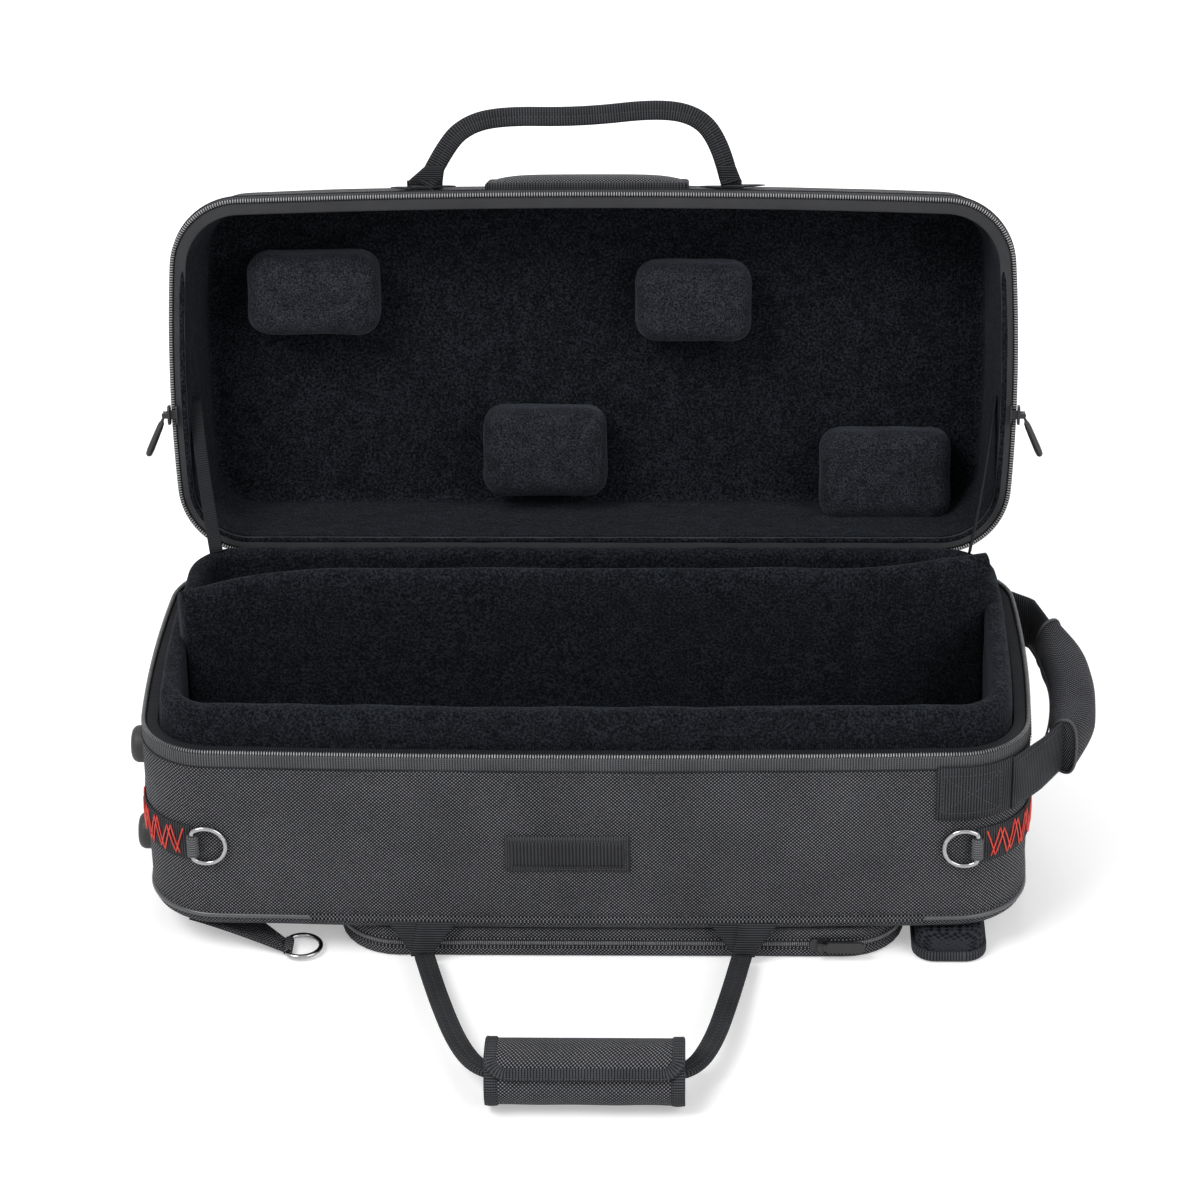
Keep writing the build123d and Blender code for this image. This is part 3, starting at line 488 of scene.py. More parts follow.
# %% Small shapes in rows
def spaced(frames, pitch, closed=False):
    """Frames at equal steps along a line of frames, as for teeth or stitches."""
    points = [f[0] for f in frames] + ([frames[0][0]] if closed else [])
    run = distances(points)
    count = int(run[-1] / pitch)
    out = []
    for k in range(count):
        s = (k + 0.5) * run[-1] / count
        i = min(int(np.searchsorted(run, s)) - 1, len(points) - 2)
        t = (s - run[i]) / (run[i + 1] - run[i])
        a, b = frames[i], frames[(i + 1) % len(frames)]
        along = (b[0] - a[0]).normalized()
        across = a[1].lerp(b[1], t)
        across = (across - along * across.dot(along)).normalized()
        up = along.cross(across) if along.cross(across).dot(a[2]) > 0 else across.cross(along)
        out.append((a[0].lerp(b[0], t), across, up))
    return out


def scatter(name, frames, shape, material, body, lid=False):
    """Copies of a small shape, given as points and faces, one at each frame."""
    points, sides = shape
    verts = [o + a * x + b * y + b.cross(a).normalized() * z
             for o, a, b in frames for x, y, z in points]
    faces = [tuple(k * len(points) + i for i in side) for k in range(len(frames)) for side in sides]
    return make(name, verts, faces, None, material, body, lid)


def bead(across, up, along, sides=6, rings=3):
    """A small closed shape, round at its ends, with its sizes as half lengths."""
    points = [(0, 0, -along)]
    for r in range(rings):
        t = pi * (r + 1) / (rings + 1)
        for k in range(sides):
            turn = 2 * pi * k / sides
            points.append((across * cos(turn) * sin(t), up * sin(turn) * sin(t), -along * cos(t)))
    points.append((0, 0, along))
    last = len(points) - 1
    faces = [(0, 1 + (k + 1) % sides, 1 + k) for k in range(sides)]
    faces += [tuple(1 + i for i in face) for face in quads(rings, sides)]
    first = 1 + (rings - 1) * sides
    faces += [(last, first + k, first + (k + 1) % sides) for k in range(sides)]
    return points, faces


STITCH, STITCH_PITCH = bead(0.3 * MM, 0.28 * MM, 1.25 * MM), 3.6 * MM
print("a stitch has", len(STITCH[1]), "faces")

# %% [markdown]
# Flat pieces of cloth and webbing are sheets with a real thickness, pressed thinner at their
# edges. A plane with a solidify modifier comes close, but not to the thin edge, so both faces
# are built through one grid of points.


# %% Sheets through a grid
def patch(name, grid, thick, material, body, lid=False, edge=0.45):
    """A sheet of cloth or webbing through a grid of points, thinner at its edges."""
    rows, cols = len(grid), len(grid[0])
    sides = {1: [], -1: []}
    for i in range(rows):
        for j in range(cols):
            down = grid[min(i + 1, rows - 1)][j] - grid[max(i - 1, 0)][j]
            across = grid[i][min(j + 1, cols - 1)] - grid[i][max(j - 1, 0)]
            rim = i in (0, rows - 1) or j in (0, cols - 1)
            push = down.cross(across).normalized() * thick / 2 * (edge if rim else 1)
            for sign in sides:
                sides[sign].append(grid[i][j] + push * sign)
    verts, total = sides[1] + sides[-1], rows * cols
    run = distances([row[cols // 2] for row in grid])
    flat = [(run[i], wide) for i, row in enumerate(grid) for wide in distances(row)] * 2
    faces = []
    for i in range(rows - 1):
        for j in range(cols - 1):
            a, b = i * cols + j, (i + 1) * cols + j
            faces += [(a, a + 1, b + 1, b), tuple(total + k for k in (a, b, b + 1, a + 1))]
    border = list(range(cols)) + [i * cols + cols - 1 for i in range(1, rows)]
    border += [(rows - 1) * cols + j for j in range(cols - 2, -1, -1)]
    border += [i * cols for i in range(rows - 2, 0, -1)]
    for a, b in zip(border, border[1:] + border[:1]):
        faces.append((a, b, total + b, total + a))
    uvs = [tuple(flat[i] for i in face) for face in faces]
    return make(name, verts, faces, uvs, material, body, lid)


def lerp_grid(corners, rows, cols):
    """A grid of points between four corners, given from top left, clockwise."""
    tl, tr, br, bl = [Vector(c) for c in corners]
    grid = []
    for i in range(rows + 1):
        left, right = tl.lerp(bl, i / rows), tr.lerp(br, i / rows)
        grid.append([left.lerp(right, j / cols) for j in range(cols + 1)])
    return grid


print("a grid of 8 by 8 has", sum(len(row) for row in lerp_grid([(0, 0, 0)] * 4, 8, 8)), "points")

# %% [markdown]
# The camera stands a little above the case, straight in front of it and turned slightly. A long
# lens from further off keeps the upright sides nearly parallel, where a short one close by would
# make the base look larger than the lid. Its axes are written out, so that it can roll a little.

# %% Camera
CAMERA_PLACE = Vector((0.084365, -2.175564, 1.427001))
AHEAD = Vector((-0.030375, 0.869826, -0.492424)).normalized()
TURN, ROLL = radians(2), radians(-0.9)
camera = bpy.data.objects.new("camera", bpy.data.cameras.new("camera"))
bpy.context.scene.collection.objects.link(camera)
level = Vector((cos(TURN), sin(TURN), 0))
right = cos(ROLL) * level + sin(ROLL) * level.cross(AHEAD)
above = right.cross(AHEAD)
camera.matrix_world = Matrix([(right[k], above[k], -AHEAD[k], CAMERA_PLACE[k]) for k in range(3)]
                             + [(0, 0, 0, 1)])
camera.data.lens = 116.36
camera.data.sensor_width = 36
bpy.context.scene.camera = camera
print("camera at", [round(c, 3) for c in CAMERA_PLACE])

# %% [markdown]
# Each finish is a few shader nodes. A printed picture of the cloth would be quicker, but it tiles,
# and can't be relit. These helpers keep the node work short. A number that is the same all over a
# surface is set on the shader's own socket, and only what varies is wired.


# %% Helpers for finishes
def node(tree, kind, inputs=None, **settings):
    """A shader node with its settings, its inputs given as values or as outputs to join."""
    made = tree.nodes.new("ShaderNode" + kind)
    for key, value in settings.items():
        setattr(made, key, value)
    for key, value in (inputs or {}).items():
        if isinstance(value, bpy.types.NodeSocket):
            tree.links.new(value, made.inputs[key])
        else:
            made.inputs[key].default_value = value
    return made


def math(tree, operation, a, b=0.0):
    """One step of arithmetic on two values."""
    return node(tree, "Math", {0: a, 1: b}, operation=operation).outputs[0]


def finish(name, roughness, **sockets):
    """A new material with its plain values set on the shader itself."""
    material = bpy.data.materials.new(name)
    material.use_nodes = True
    tree = material.node_tree
    shader = tree.nodes["Principled BSDF"]
    shader.inputs["Roughness"].default_value = roughness
    for key, value in sockets.items():
        shader.inputs[key.replace("_", " ")].default_value = value
    return material, tree, shader


def tint(tree, shader, factor, dark, light):
    """The surface colour, between two colours."""
    mix = node(tree, "Mix", {0: factor}, data_type="RGBA")
    mix.inputs[6].default_value = (*dark, 1)
    mix.inputs[7].default_value = (*light, 1)
    tree.links.new(mix.outputs[2], shader.inputs["Base Color"])


def relief(tree, shader, height, depth):
    """Bump from a height between 0 and 1, depth in metres."""
    bump = node(tree, "Bump", {"Height": height, "Distance": depth, "Strength": 1.0})
    tree.links.new(bump.outputs[0], shader.inputs["Normal"])


print("finishes start from", len(bpy.data.materials), "materials")


# %% Places and patterns for finishes
def cloth_map(tree):
    """The two directions of the flat map, in metres."""
    split = node(tree, "SeparateXYZ", {0: node(tree, "UVMap", uv_map="cloth").outputs[0]})
    return split.outputs[0], split.outputs[1]


def space_map(tree):
    """The place of a point in the piece itself, in metres."""
    return node(tree, "TexCoord").outputs["Object"]


def speckle(tree, place, size, detail=3.0, rough=0.6):
    """Noise with spots of about a given size."""
    return node(tree, "TexNoise", {"Vector": place, "Scale": 1 / size, "Detail": detail,
                                   "Roughness": rough}).outputs[0]


def wave(tree, coordinate, pitch):
    """A wave between -1 and 1 along a coordinate in metres."""
    return math(tree, "SINE", math(tree, "MULTIPLY", coordinate, 2 * pi / pitch))


def lifted(tree, value):
    """From -1..1 to 0..1."""
    return node(tree, "Math", {0: value, 1: 0.5, 2: 0.5}, operation="MULTIPLY_ADD").outputs[0]


print("one wave of 2.4 mm turns by", round(2 * pi / (2.4 * MM)), "radians in a metre")

# %% [markdown]
# The cover is coarse nylon: thick yarns cross over and under, so from a step away it shows as
# rows of small dots. Two sine waves multiplied together give that grid of bumps at the yarn's
# own pitch, and a slow noise keeps it from looking printed. The side handle's soft tube has the
# same weave in a darker shade.


# %% Woven nylon
def woven(name, dark, light, pitch, depth, roughness=0.62):
    """Yarns that cross: a grid of small knots on a dark ground."""
    material, tree, shader = finish(name, roughness, Specular_IOR_Level=0.07)
    u, v = cloth_map(tree)
    grid = lifted(tree, math(tree, "MULTIPLY", wave(tree, u, pitch), wave(tree, v, pitch)))
    knots = math(tree, "POWER", grid, 3.3)
    slow = speckle(tree, space_map(tree), 45 * MM)
    fine = speckle(tree, space_map(tree), 1.6 * MM)
    uneven = math(tree, "ADD", math(tree, "MULTIPLY", slow, 0.7), math(tree, "MULTIPLY", fine, 1.3))
    tint(tree, shader, math(tree, "MULTIPLY", knots, uneven), dark, light)
    relief(tree, shader, grid, depth)
    return material


NYLON = woven("coarse_nylon", (0.003, 0.0033, 0.0045), (0.325, 0.328, 0.35), 2.4 * MM, 0.7 * MM)
SOFT_NYLON = woven("handle_nylon", (0.004, 0.0044, 0.006), (0.17, 0.172, 0.19), 2.4 * MM, 0.5 * MM)
print("woven finishes:", NYLON.name, SOFT_NYLON.name)

# %% [markdown]
# Webbing, zip tape and binding are all ribbed: ribs lie across their run, crossed by much finer
# yarn. So one helper serves them, with its own pitch and greys for each tape. The lid's zip tape
# and binding are darker copies of the same tapes, which is painted shade. The ribs follow the
# flat map, which turns them with the strip wherever it bends.


# %% Ribbed webbing and tapes
def ribbed(name, dark, light, pitch, depth, roughness=0.7):
    """Webbing or tape: ribs across its run, crossed by much finer yarn."""
    material, tree, shader = finish(name, roughness, Specular_IOR_Level=0.08)
    u, v = cloth_map(tree)
    ribs = lifted(tree, wave(tree, u, pitch))
    yarn = lifted(tree, wave(tree, v, pitch * 0.8))
    height = math(tree, "ADD", math(tree, "MULTIPLY", ribs, 0.8), math(tree, "MULTIPLY", yarn, 0.2))
    slow = speckle(tree, space_map(tree), 25 * MM)
    tint(tree, shader, math(tree, "MULTIPLY", height, math(tree, "ADD", slow, 0.45)), dark, light)
    relief(tree, shader, height, depth)
    return material


LOOP_RIBS = ribbed("loop_ribs", (0.012, 0.0125, 0.014), (0.06, 0.061, 0.067), 2.2 * MM, 0.4 * MM, 0.9)
LOOP_EDGE = ribbed("loop_tape_edge", (0.012, 0.0125, 0.014), (0.075, 0.077, 0.083), 1.6 * MM, 0.2 * MM)
LOOP_WEBBING = ribbed("grey_webbing", (0.03, 0.031, 0.033), (0.2, 0.203, 0.21), 1.7 * MM, 0.3 * MM)
TAPE_CLOTH = ribbed("smooth_tape", (0.036, 0.037, 0.04), (0.09, 0.092, 0.1), 0.7 * MM, 0.1 * MM)
ZIP_CLOTH = ribbed("zip_tape", (0.018, 0.0185, 0.02), (0.12, 0.122, 0.13), 1.7 * MM, 0.2 * MM)
# painted shade: the lid's half of the zip tape is the same tape as the base's, darkened here because it
# faces up into the lamps
SHADED_LID_ZIP_CLOTH = ribbed("lid_zip_tape", (0.012, 0.0123, 0.0135), (0.05, 0.051, 0.056), 1.7 * MM,
                       0.2 * MM)
# painted shade: the lid's binding is the same binding tape, darkened here because it faces the lamps
# fully
SHADED_RIM_TAPE = ribbed("rim_tape_painted_shade", (0.022, 0.0223, 0.024), (0.068, 0.069, 0.074), 0.7 * MM, 0.1 * MM)
DARK_TAPE = ribbed("dark_tape", (0.006, 0.0065, 0.008), (0.03, 0.031, 0.035), 1.6 * MM, 0.1 * MM)
GROSGRAIN = ribbed("ribbed_tape", (0.003, 0.0035, 0.005), (0.078, 0.08, 0.087), 1.8 * MM, 0.4 * MM)
WEBBING = ribbed("webbing", (0.003, 0.0034, 0.004), (0.066, 0.068, 0.074), 1.8 * MM, 0.4 * MM)
print("finishes so far:", len(bpy.data.materials))

# %% [markdown]
# Plush has a short pile that is brushed this way and that, so it is dark where one looks into it
# and paler where it lies flat. Hair could be grown, but a pile of a millimetre is finer than a
# pixel. Noise at the size of the tufts, a slower one for the brushing, and a little sheen do it.


# %% Plush and foam
def napped(name, dark, light, roughness, sheen, size, depth):
    """Plush: a short pile that is brushed this way and that."""
    material, tree, shader = finish(name, roughness, Sheen_Weight=sheen, Sheen_Roughness=0.45,
                                    Sheen_Tint=(0.75, 0.85, 1.0, 1.0), Specular_IOR_Level=0.1)
    place = space_map(tree)
    pile = speckle(tree, place, size, 2.0, 0.6)
    brushed = speckle(tree, place, 11 * MM, 3.0, 0.6)
    tufts = math(tree, "POWER", node(tree, "MapRange", {0: pile, 1: 0.28, 2: 0.72}).outputs[0], 2.0)
    shade = math(tree, "MULTIPLY", tufts, math(tree, "MULTIPLY", brushed, 3.0))
    tint(tree, shader, shade, dark, light)
    relief(tree, shader, math(tree, "ADD", pile, math(tree, "MULTIPLY", brushed, 1.5)), depth)
    return material


PLUSH = napped("plush", (0.0004, 0.0006, 0.001), (0.018, 0.0205, 0.0265), 0.97, 0.045, 1.5 * MM,
               0.6 * MM)
# painted light: the pads are covered in the same plush as the lining; this lighter copy paints the light
# on their faces
PAD_PLUSH_PAINTED_LIGHT = napped("pad_plush_painted_light", (0.004, 0.0044, 0.0058), (0.038, 0.041, 0.051), 0.95, 0.08, 1.1 * MM,
                   0.5 * MM)
FOAM = napped("foam", (0.03, 0.03, 0.032), (0.07, 0.07, 0.074), 0.9, 0.0, 1.5 * MM, 0.3 * MM)
print("finishes so far:", len(bpy.data.materials))

# %% [markdown]
# Moulded, drawn and plated parts have no weave, only a faint uneven skin, so one noise drives
# both their colour and their relief. Thread is made the same way at its own size. The teeth of
# the base carry painted light: their colour is painted bright along the front, where they catch
# the lamps, and dull towards the corners, where the row turns away from them.


# %% Thread, teeth, rubber and metal
def grained(name, dark, light, roughness, size, depth, **sockets):
    """Moulded or painted surfaces, with a faint uneven skin."""
    material, tree, shader = finish(name, roughness, **sockets)
    skin = speckle(tree, space_map(tree), size)
    tint(tree, shader, skin, dark, light)
    relief(tree, shader, skin, depth)
    return material


def lamp_painted_teeth(name, dark, light, painted_bright_to, painted_dull_from):
    """Nylon teeth with painted light: colour painted bright on the long sides, dull where the row turns
    away.
    """
    material, tree, shader = finish(name, 0.3)
    place = space_map(tree)
    along = node(tree, "SeparateXYZ", {"Vector": place}).outputs["X"]
    # painted light: full brightness along the long sides, a quarter of it where the row turns away
    painted_lamp_share = node(tree, "MapRange", {0: math(tree, "ABSOLUTE", along), 1: painted_bright_to, 2: painted_dull_from,
                                     3: 1.0, 4: 0.25}).outputs[0]
    skin = speckle(tree, place, 2 * MM)
    tint(tree, shader, math(tree, "MULTIPLY", skin, painted_lamp_share), dark, light)
    relief(tree, shader, skin, 0.02 * MM)
    return material


THREAD = grained("thread", (0.02, 0.02, 0.022), (0.05, 0.05, 0.055), 0.6, 0.4 * MM, 0.1 * MM)
RED_THREAD = grained("red_thread", (0.45, 0.02, 0.012), (0.85, 0.06, 0.035), 0.45, 0.4 * MM, 0.1 * MM)
TEETH = grained("zip_teeth", (0.24, 0.24, 0.25), (0.5, 0.5, 0.51), 0.3, 2 * MM, 0.02 * MM)
# painted light: the base's teeth are painted bright along the front and dull at the corners
BASE_TEETH_PAINTED_LIGHT = lamp_painted_teeth("base_zip_teeth_painted_light", (0.05, 0.05, 0.052), (0.72, 0.72, 0.73), 222 * MM, 262 * MM)
FINE_TEETH = grained("fine_teeth", (0.07, 0.07, 0.075), (0.26, 0.26, 0.27), 0.3, 2 * MM, 0.02 * MM)
PIPING = grained("satin_piping", (0.05, 0.051, 0.055), (0.085, 0.087, 0.093), 0.3, 8 * MM, 0.05 * MM)
RUBBER = grained("rubber", (0.012, 0.012, 0.013), (0.026, 0.026, 0.028), 0.55, 1.2 * MM, 0.06 * MM)
CHROME = grained("chrome", (0.27, 0.27, 0.28), (0.43, 0.43, 0.44), 0.12, 3 * MM, 0.004 * MM,
                 Metallic=1.0)
BLACK_METAL = grained("black_metal", (0.02, 0.02, 0.022), (0.05, 0.05, 0.054), 0.35, 0.8 * MM,
                      0.02 * MM, Metallic=0.6)
print("finishes so far:", len(bpy.data.materials))

# %% [markdown]
# Air mesh is a thick knit with rows of open cells, each darker than the threads round it. A
# cell pattern with its centres nearly in rows, slanted and drawn out, gives the holes, and the
# distance from each centre gives the raised rim. Real holes would be thousands of tiny faces.


# %% Air mesh
def mesh_cloth(name, hole, thread):
    """Air mesh: rows of open cells with a thick knitted rim."""
    material, tree, shader = finish(name, 0.8, Specular_IOR_Level=0.15)
    slanted = node(tree, "Mapping", {"Vector": space_map(tree), "Rotation": (0.0, radians(35), 0.0),
                                     "Scale": (1.0, 1.0, 1.7)}).outputs[0]
    cells = node(tree, "TexVoronoi", {"Vector": slanted, "Scale": 1 / (3.6 * MM),
                                      "Randomness": 0.12})
    rim = node(tree, "MapRange", {0: cells.outputs["Distance"], 1: 0.32, 2: 0.5})
    tint(tree, shader, rim.outputs[0], hole, thread)
    relief(tree, shader, rim.outputs[0], 0.8 * MM)
    return material


MESH = mesh_cloth("air_mesh", (0.001, 0.0018, 0.004), (0.024, 0.026, 0.032))
print("finishes:", len(bpy.data.materials))

# %% [markdown]
# The floor is matt paper that turns white for the eye and for shiny metal, but keeps the case's
# shadow. More lamps would whiten it too, and spoil the colours of the case, so a little light of
# its own is added only to the rays that look at it.

# %% Floor
FLOOR_HALF = 6
floor_mesh = bpy.data.meshes.new("floor")
floor_mesh.from_pydata([(x * FLOOR_HALF, y * FLOOR_HALF, 0) for x, y in
                        ((-1, -1), (1, -1), (1, 1), (-1, 1))], [], [(0, 1, 2, 3)])
floor = bpy.data.objects.new("floor", floor_mesh)
bpy.context.scene.collection.objects.link(floor)
floor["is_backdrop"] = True
floor.location.z = min(0.0, cad_low.z)


def looked_at(tree):
    """1 for the rays that look: from the camera, off shiny metal or through clear plastic."""
    rays = node(tree, "LightPath").outputs
    return math(tree, "MAXIMUM", rays["Is Camera Ray"],
                math(tree, "MAXIMUM", rays["Is Glossy Ray"], rays["Is Transmission Ray"]))


paper, tree, shader = finish("paper", 0.9)
tint(tree, shader, speckle(tree, space_map(tree), 0.3), (0.80, 0.80, 0.80), (0.84, 0.84, 0.84))
shown = node(tree, "Emission", {"Color": (1, 1, 1, 1), "Strength": 0.35})
both = node(tree, "AddShader", {0: shader.outputs[0], 1: shown.outputs[0]})
mix = node(tree, "MixShader", {0: looked_at(tree), 1: shader.outputs[0], 2: both.outputs[0]})
tree.links.new(mix.outputs[0], tree.nodes["Material Output"].inputs[0])
floor_mesh.materials.append(paper)
print("floor at", round(floor.location.z, 4), "m")

# %% [markdown]
# Three large soft lamps light the case: one from the front left, a weaker one from the front
# right, and one from behind that draws its edges. A white world alone would light everything
# flat, so the world gives the case less light than it shows to the camera.


# %% Lamps and world
def lamp(name, place, size, watts, target=(0, 0, 0.2)):
    """A round soft lamp that faces the case."""
    data = bpy.data.lights.new(name, "AREA")
    data.shape, data.size, data.energy = "DISK", size, watts
    made = bpy.data.objects.new(name, data)
    bpy.context.scene.collection.objects.link(made)
    made.location = place
    made.rotation_euler = (Vector(target) - Vector(place)).to_track_quat("-Z", "Y").to_euler()


lamp("key", (-1.5, -1.4, 2.6), 1.6, 60)
lamp("fill", (1.9, -1.6, 1.6), 2.0, 28)
lamp("back", (0.2, 1.9, 2.2), 1.8, 35)
world = bpy.data.worlds.new("studio")
bpy.context.scene.world = world
world.use_nodes = True
tree = world.node_tree
dim = node(tree, "Background", {"Color": (1, 1, 1, 1), "Strength": 0.45})
white = node(tree, "Background", {"Color": (1, 1, 1, 1), "Strength": 1.0})
mix = node(tree, "MixShader", {0: looked_at(tree), 1: dim.outputs[0], 2: white.outputs[0]})
tree.links.new(mix.outputs[0], tree.nodes["World Output"].inputs[0])
bpy.context.scene.view_settings.view_transform = "Standard"
print("lamps:", len(bpy.data.lights))

# %% [markdown]
# The base is a tub of foam board in a nylon cover. The cover is one bowl here: a row of rings
# that follow the outline, from the inside of the wall over its edge to the outside and round to
# the underside. A little noise along its normals gives the slack that stretched cloth keeps.

# %% Cover of the base
COVER_TOP = RIM - TAPE


def rounding(inset, z, radius, steps=5):
    """A quarter turn from a wall at an inset down to a flat at a height."""
    return [(inset + radius * (1 - cos(t)), z + radius * (1 - sin(t))) for t in quarter(steps)]


def climb(inset, low, high, steps, lean=0.0):
    """Equal steps up a wall, which may lean in above the rim."""
    return [(inset + (z - RIM) * lean, z)
            for z in (low + (high - low) * k / steps for k in range(steps + 1))]


outside = climb(0, COVER_TOP, BASE + 8 * MM, 22) + rounding(0, BASE, 7 * MM)
inside = rounding(THICK, BASE + THICK, 6 * MM, 3)[::-1]
inside += [(THICK, z) for z in (BASE + 40 * MM, BASE + 80 * MM, COVER_TOP)]
base_cloth = bowl("base_cloth", outline_frames(step=5 * MM), inside + outside, NYLON, "base")
ripple(base_cloth, 0.5 * MM, 0.05)
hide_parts("base_cover", "base_bottom")
print("cover faces:", len(base_cloth.data.polygons))

# %% [markdown]
# A satin piping runs round the bottom of the case, where the cover's wall meets its underside.
# On the real one it is a cord in a strip of coated cloth, so it is a round section swept along
# the outline. Along the front a fold of the cover hangs over it and hides it.

# %% Piping
piping = sweep("piping", outline_frames(), oval(-0.4 * MM, BASE + 8.8 * MM, 1.7 * MM, 1.7 * MM),
               PIPING, "base", closed=True)
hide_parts("base_piping")
fold_line = [(Vector((x, front_line_y(x), 0)), Vector((0, -1, 0)), Vector((0, 0, 1)))
             for x in (k * MM for k in range(-176, 217, 4))]
fold = sweep("piping_fold", fold_line, oval(0.1 * MM, BASE + 8.6 * MM, 1.9 * MM, 2.3 * MM), NYLON,
             "base")
print("piping laid, folded over for", len(fold_line) * 4, "mm")

# %% [markdown]
# The zip runs round the rim and leaves only the hinge free. Each half has a tape sewn to the
# cover, a row of nylon teeth on a cord, and behind them the bound edge of the lining, which
# waves a little where it is gathered. The teeth could be bump on a strip, but they catch the
# light one by one, so they are real shapes.

# %% The two halves of the zip
GAP = HINGE_HALF + 0.4 * MM
ZIP_LINE = {"start": GAP, "stop": ROUND - GAP}
TOOTH_PITCH = 1.7 * MM


def half_zip(word, lid):
    """Tape, teeth, binding and seam of one half, the seam dark with painted shadow; for the base it
    points down from the rim.
    """
    body = "lid" if lid else "base"
    sign = 1 if lid else -1
    line = outline_frames(**ZIP_LINE)

    def level(depth):
        """A height this far from the rim, in millimetres into this half."""
        return RIM + sign * depth * MM

    # the lid's tape takes the darker copy of the zip tape, which is painted shade
    tape = sweep(word + "_zip_cloth", line,
                 rounded(1.1 * MM, 9.2 * MM, 0.4 * MM, 2, -0.9 * MM, level(7.4)),
                 SHADED_LID_ZIP_CLOTH if lid else ZIP_CLOTH, body, lid=lid)
    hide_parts(word + "_zip_tape")
    # the seam is the cover's real fold, but its near-black colour is painted shadow: the dark gap under
    # the tape's edge
    seam = sweep(word + "_fold_painted_shadow", line, oval(-0.3 * MM, level(12.2), 0.6 * MM, 0.6 * MM, 8),
                 DARK_TAPE, body, lid=lid)
    coil_line = shifted(outline_frames(out=-1.8 * MM, step=3 * MM, **ZIP_LINE), 0, level(1.9))
    core = sweep(word + "_tooth_cord", coil_line, oval(0, -sign * 0.1 * MM, 0.9 * MM, 0.8 * MM, 8),
                 DARK_TAPE, body, lid=lid)
    # the base's teeth have painted light in their colour, the lid's have none
    teeth = scatter(word + "_teeth", spaced(coil_line, TOOTH_PITCH),
                    bead(1.6 * MM, 1.5 * MM, 0.5 * MM), TEETH if lid else BASE_TEETH_PAINTED_LIGHT, body, lid)
    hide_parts(word + "_zip_coil")
    rim_line = []
    for o, a, b in outline_frames(out=-7.4 * MM):
        rise = 0.25 * MM * noise.noise(o * 45 + Vector((0, 0, sign)))
        rim_line.append((o + Vector((0, 0, level(3.6) + rise)), a, b))
    # on the lid the binding takes the darker rim tape, which is painted shade
    binding = sweep(word + "_binding", rim_line, rounded(7.9 * MM, 2.0 * MM, 0.9 * MM, 3),
                    SHADED_RIM_TAPE if lid else DARK_TAPE, body, closed=True, lid=lid)
    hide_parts(word + "_rim_binding")


for word, lid in (("base", False), ("lid", True)):
    half_zip(word, lid)
print("zip teeth each side:", int((ROUND - 2 * GAP) / TOOTH_PITCH))

# %% [markdown]
# Inside the lid's bound edge the plush stands up in a narrow roll, because its foam is pressed
# against the binding. It is a soft cord swept round the rim, which sinks behind the binding
# along the front.

# %% Plush roll inside the lid's rim
ROLL_IN, ROLL_UP, ROLL_SINK = 9.2 * MM, 3.5, 2.8
roll_line = []
for o, a, b in outline_frames(out=-ROLL_IN):
    sunk = ROLL_SINK * min(1, max(0, (-o.y - 62 * MM) / (35 * MM)))
    height = RIM + (ROLL_UP + sunk + 0.2 * noise.noise(o * 60)) * MM
    roll_line.append((o + Vector((0, 0, height)), a, b))
roll = sweep("lid_plush_edge", roll_line, oval(0, 0, 2.0 * MM, 1.6 * MM), PLUSH, "lid", closed=True,
             lid=True)
print("plush roll points:", len(roll_line))

# %% [markdown]
# Inside the base sits a block of foam under plush, with a bay for each trumpet. Its wall is one
# ring whose section is round at the top, swept round the outline. Cutting the bays out of a
# block would do as well, but a swept wall keeps even faces for the soft unevenness.

# %% Plush wall of the base
BAY, FRONT_FLOOR, REAR_FLOOR = 26 * MM, 44.4 * MM, 71.4 * MM
WALL_TOP = RIM + 22 * MM
FOAM_OUT = 12.2 * MM


def top_round(outer, inner, z, radius, steps=4):
    """The rounded top of a wall between two insets."""
    left = [(outer + radius * (1 - cos(t)), z - radius * (1 - sin(t))) for t in quarter(steps)]
    right = [(inner - radius * (1 - sin(t)), z - radius * (1 - cos(t))) for t in quarter(steps)]
    return left + right


wall = climb(FOAM_OUT, RIM - 5 * MM, WALL_TOP - 5 * MM, 6, LEAN)
wall += top_round(14.3 * MM, BAY, WALL_TOP, 4.6 * MM)
wall += [(BAY, z * MM) for z in (168, 160, 150, 135, 120, 105, 90, 75, 60)]
wall += [(BAY, FRONT_FLOOR), (FOAM_OUT, FRONT_FLOOR)] + [(FOAM_OUT, z * MM) for z in (70, 100, 130)]
plush_wall = sweep("plush_wall", outline_frames(), [(-x, z) for x, z in wall],
                   PLUSH, "base", closed=True)
ripple(plush_wall, 1.0 * MM, 0.03)
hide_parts("base_insert")
print("plush wall faces:", len(plush_wall.data.polygons))

# %% [markdown]
# The bays have flat floors, and the rear one is a step higher. Both are slabs inside the wall,
# and share its plush, so the joins vanish. A plane cut along the divider's line would do too, but
# a slab is closed, and the step needs a front. It ends at the soft line of the divider's board.

# %% Floors of the bays
DIVIDER_ROUTE = ((-300, -40), (-254, -16.5), (-208, 7), (-110, 7.5), (0, 8), (100, 8.5), (190, 9),
                 (245, 29.5), (300, 50))


def divider_line():
    """The divider's line seen from above, as far as the walls."""
    line = soft_route([Vector((x * MM, y * MM, 0)) for x, y in DIVIDER_ROUTE])
    return [p for p in line if abs(p.x) < end_line(p.y) - BAY + 3 * MM]


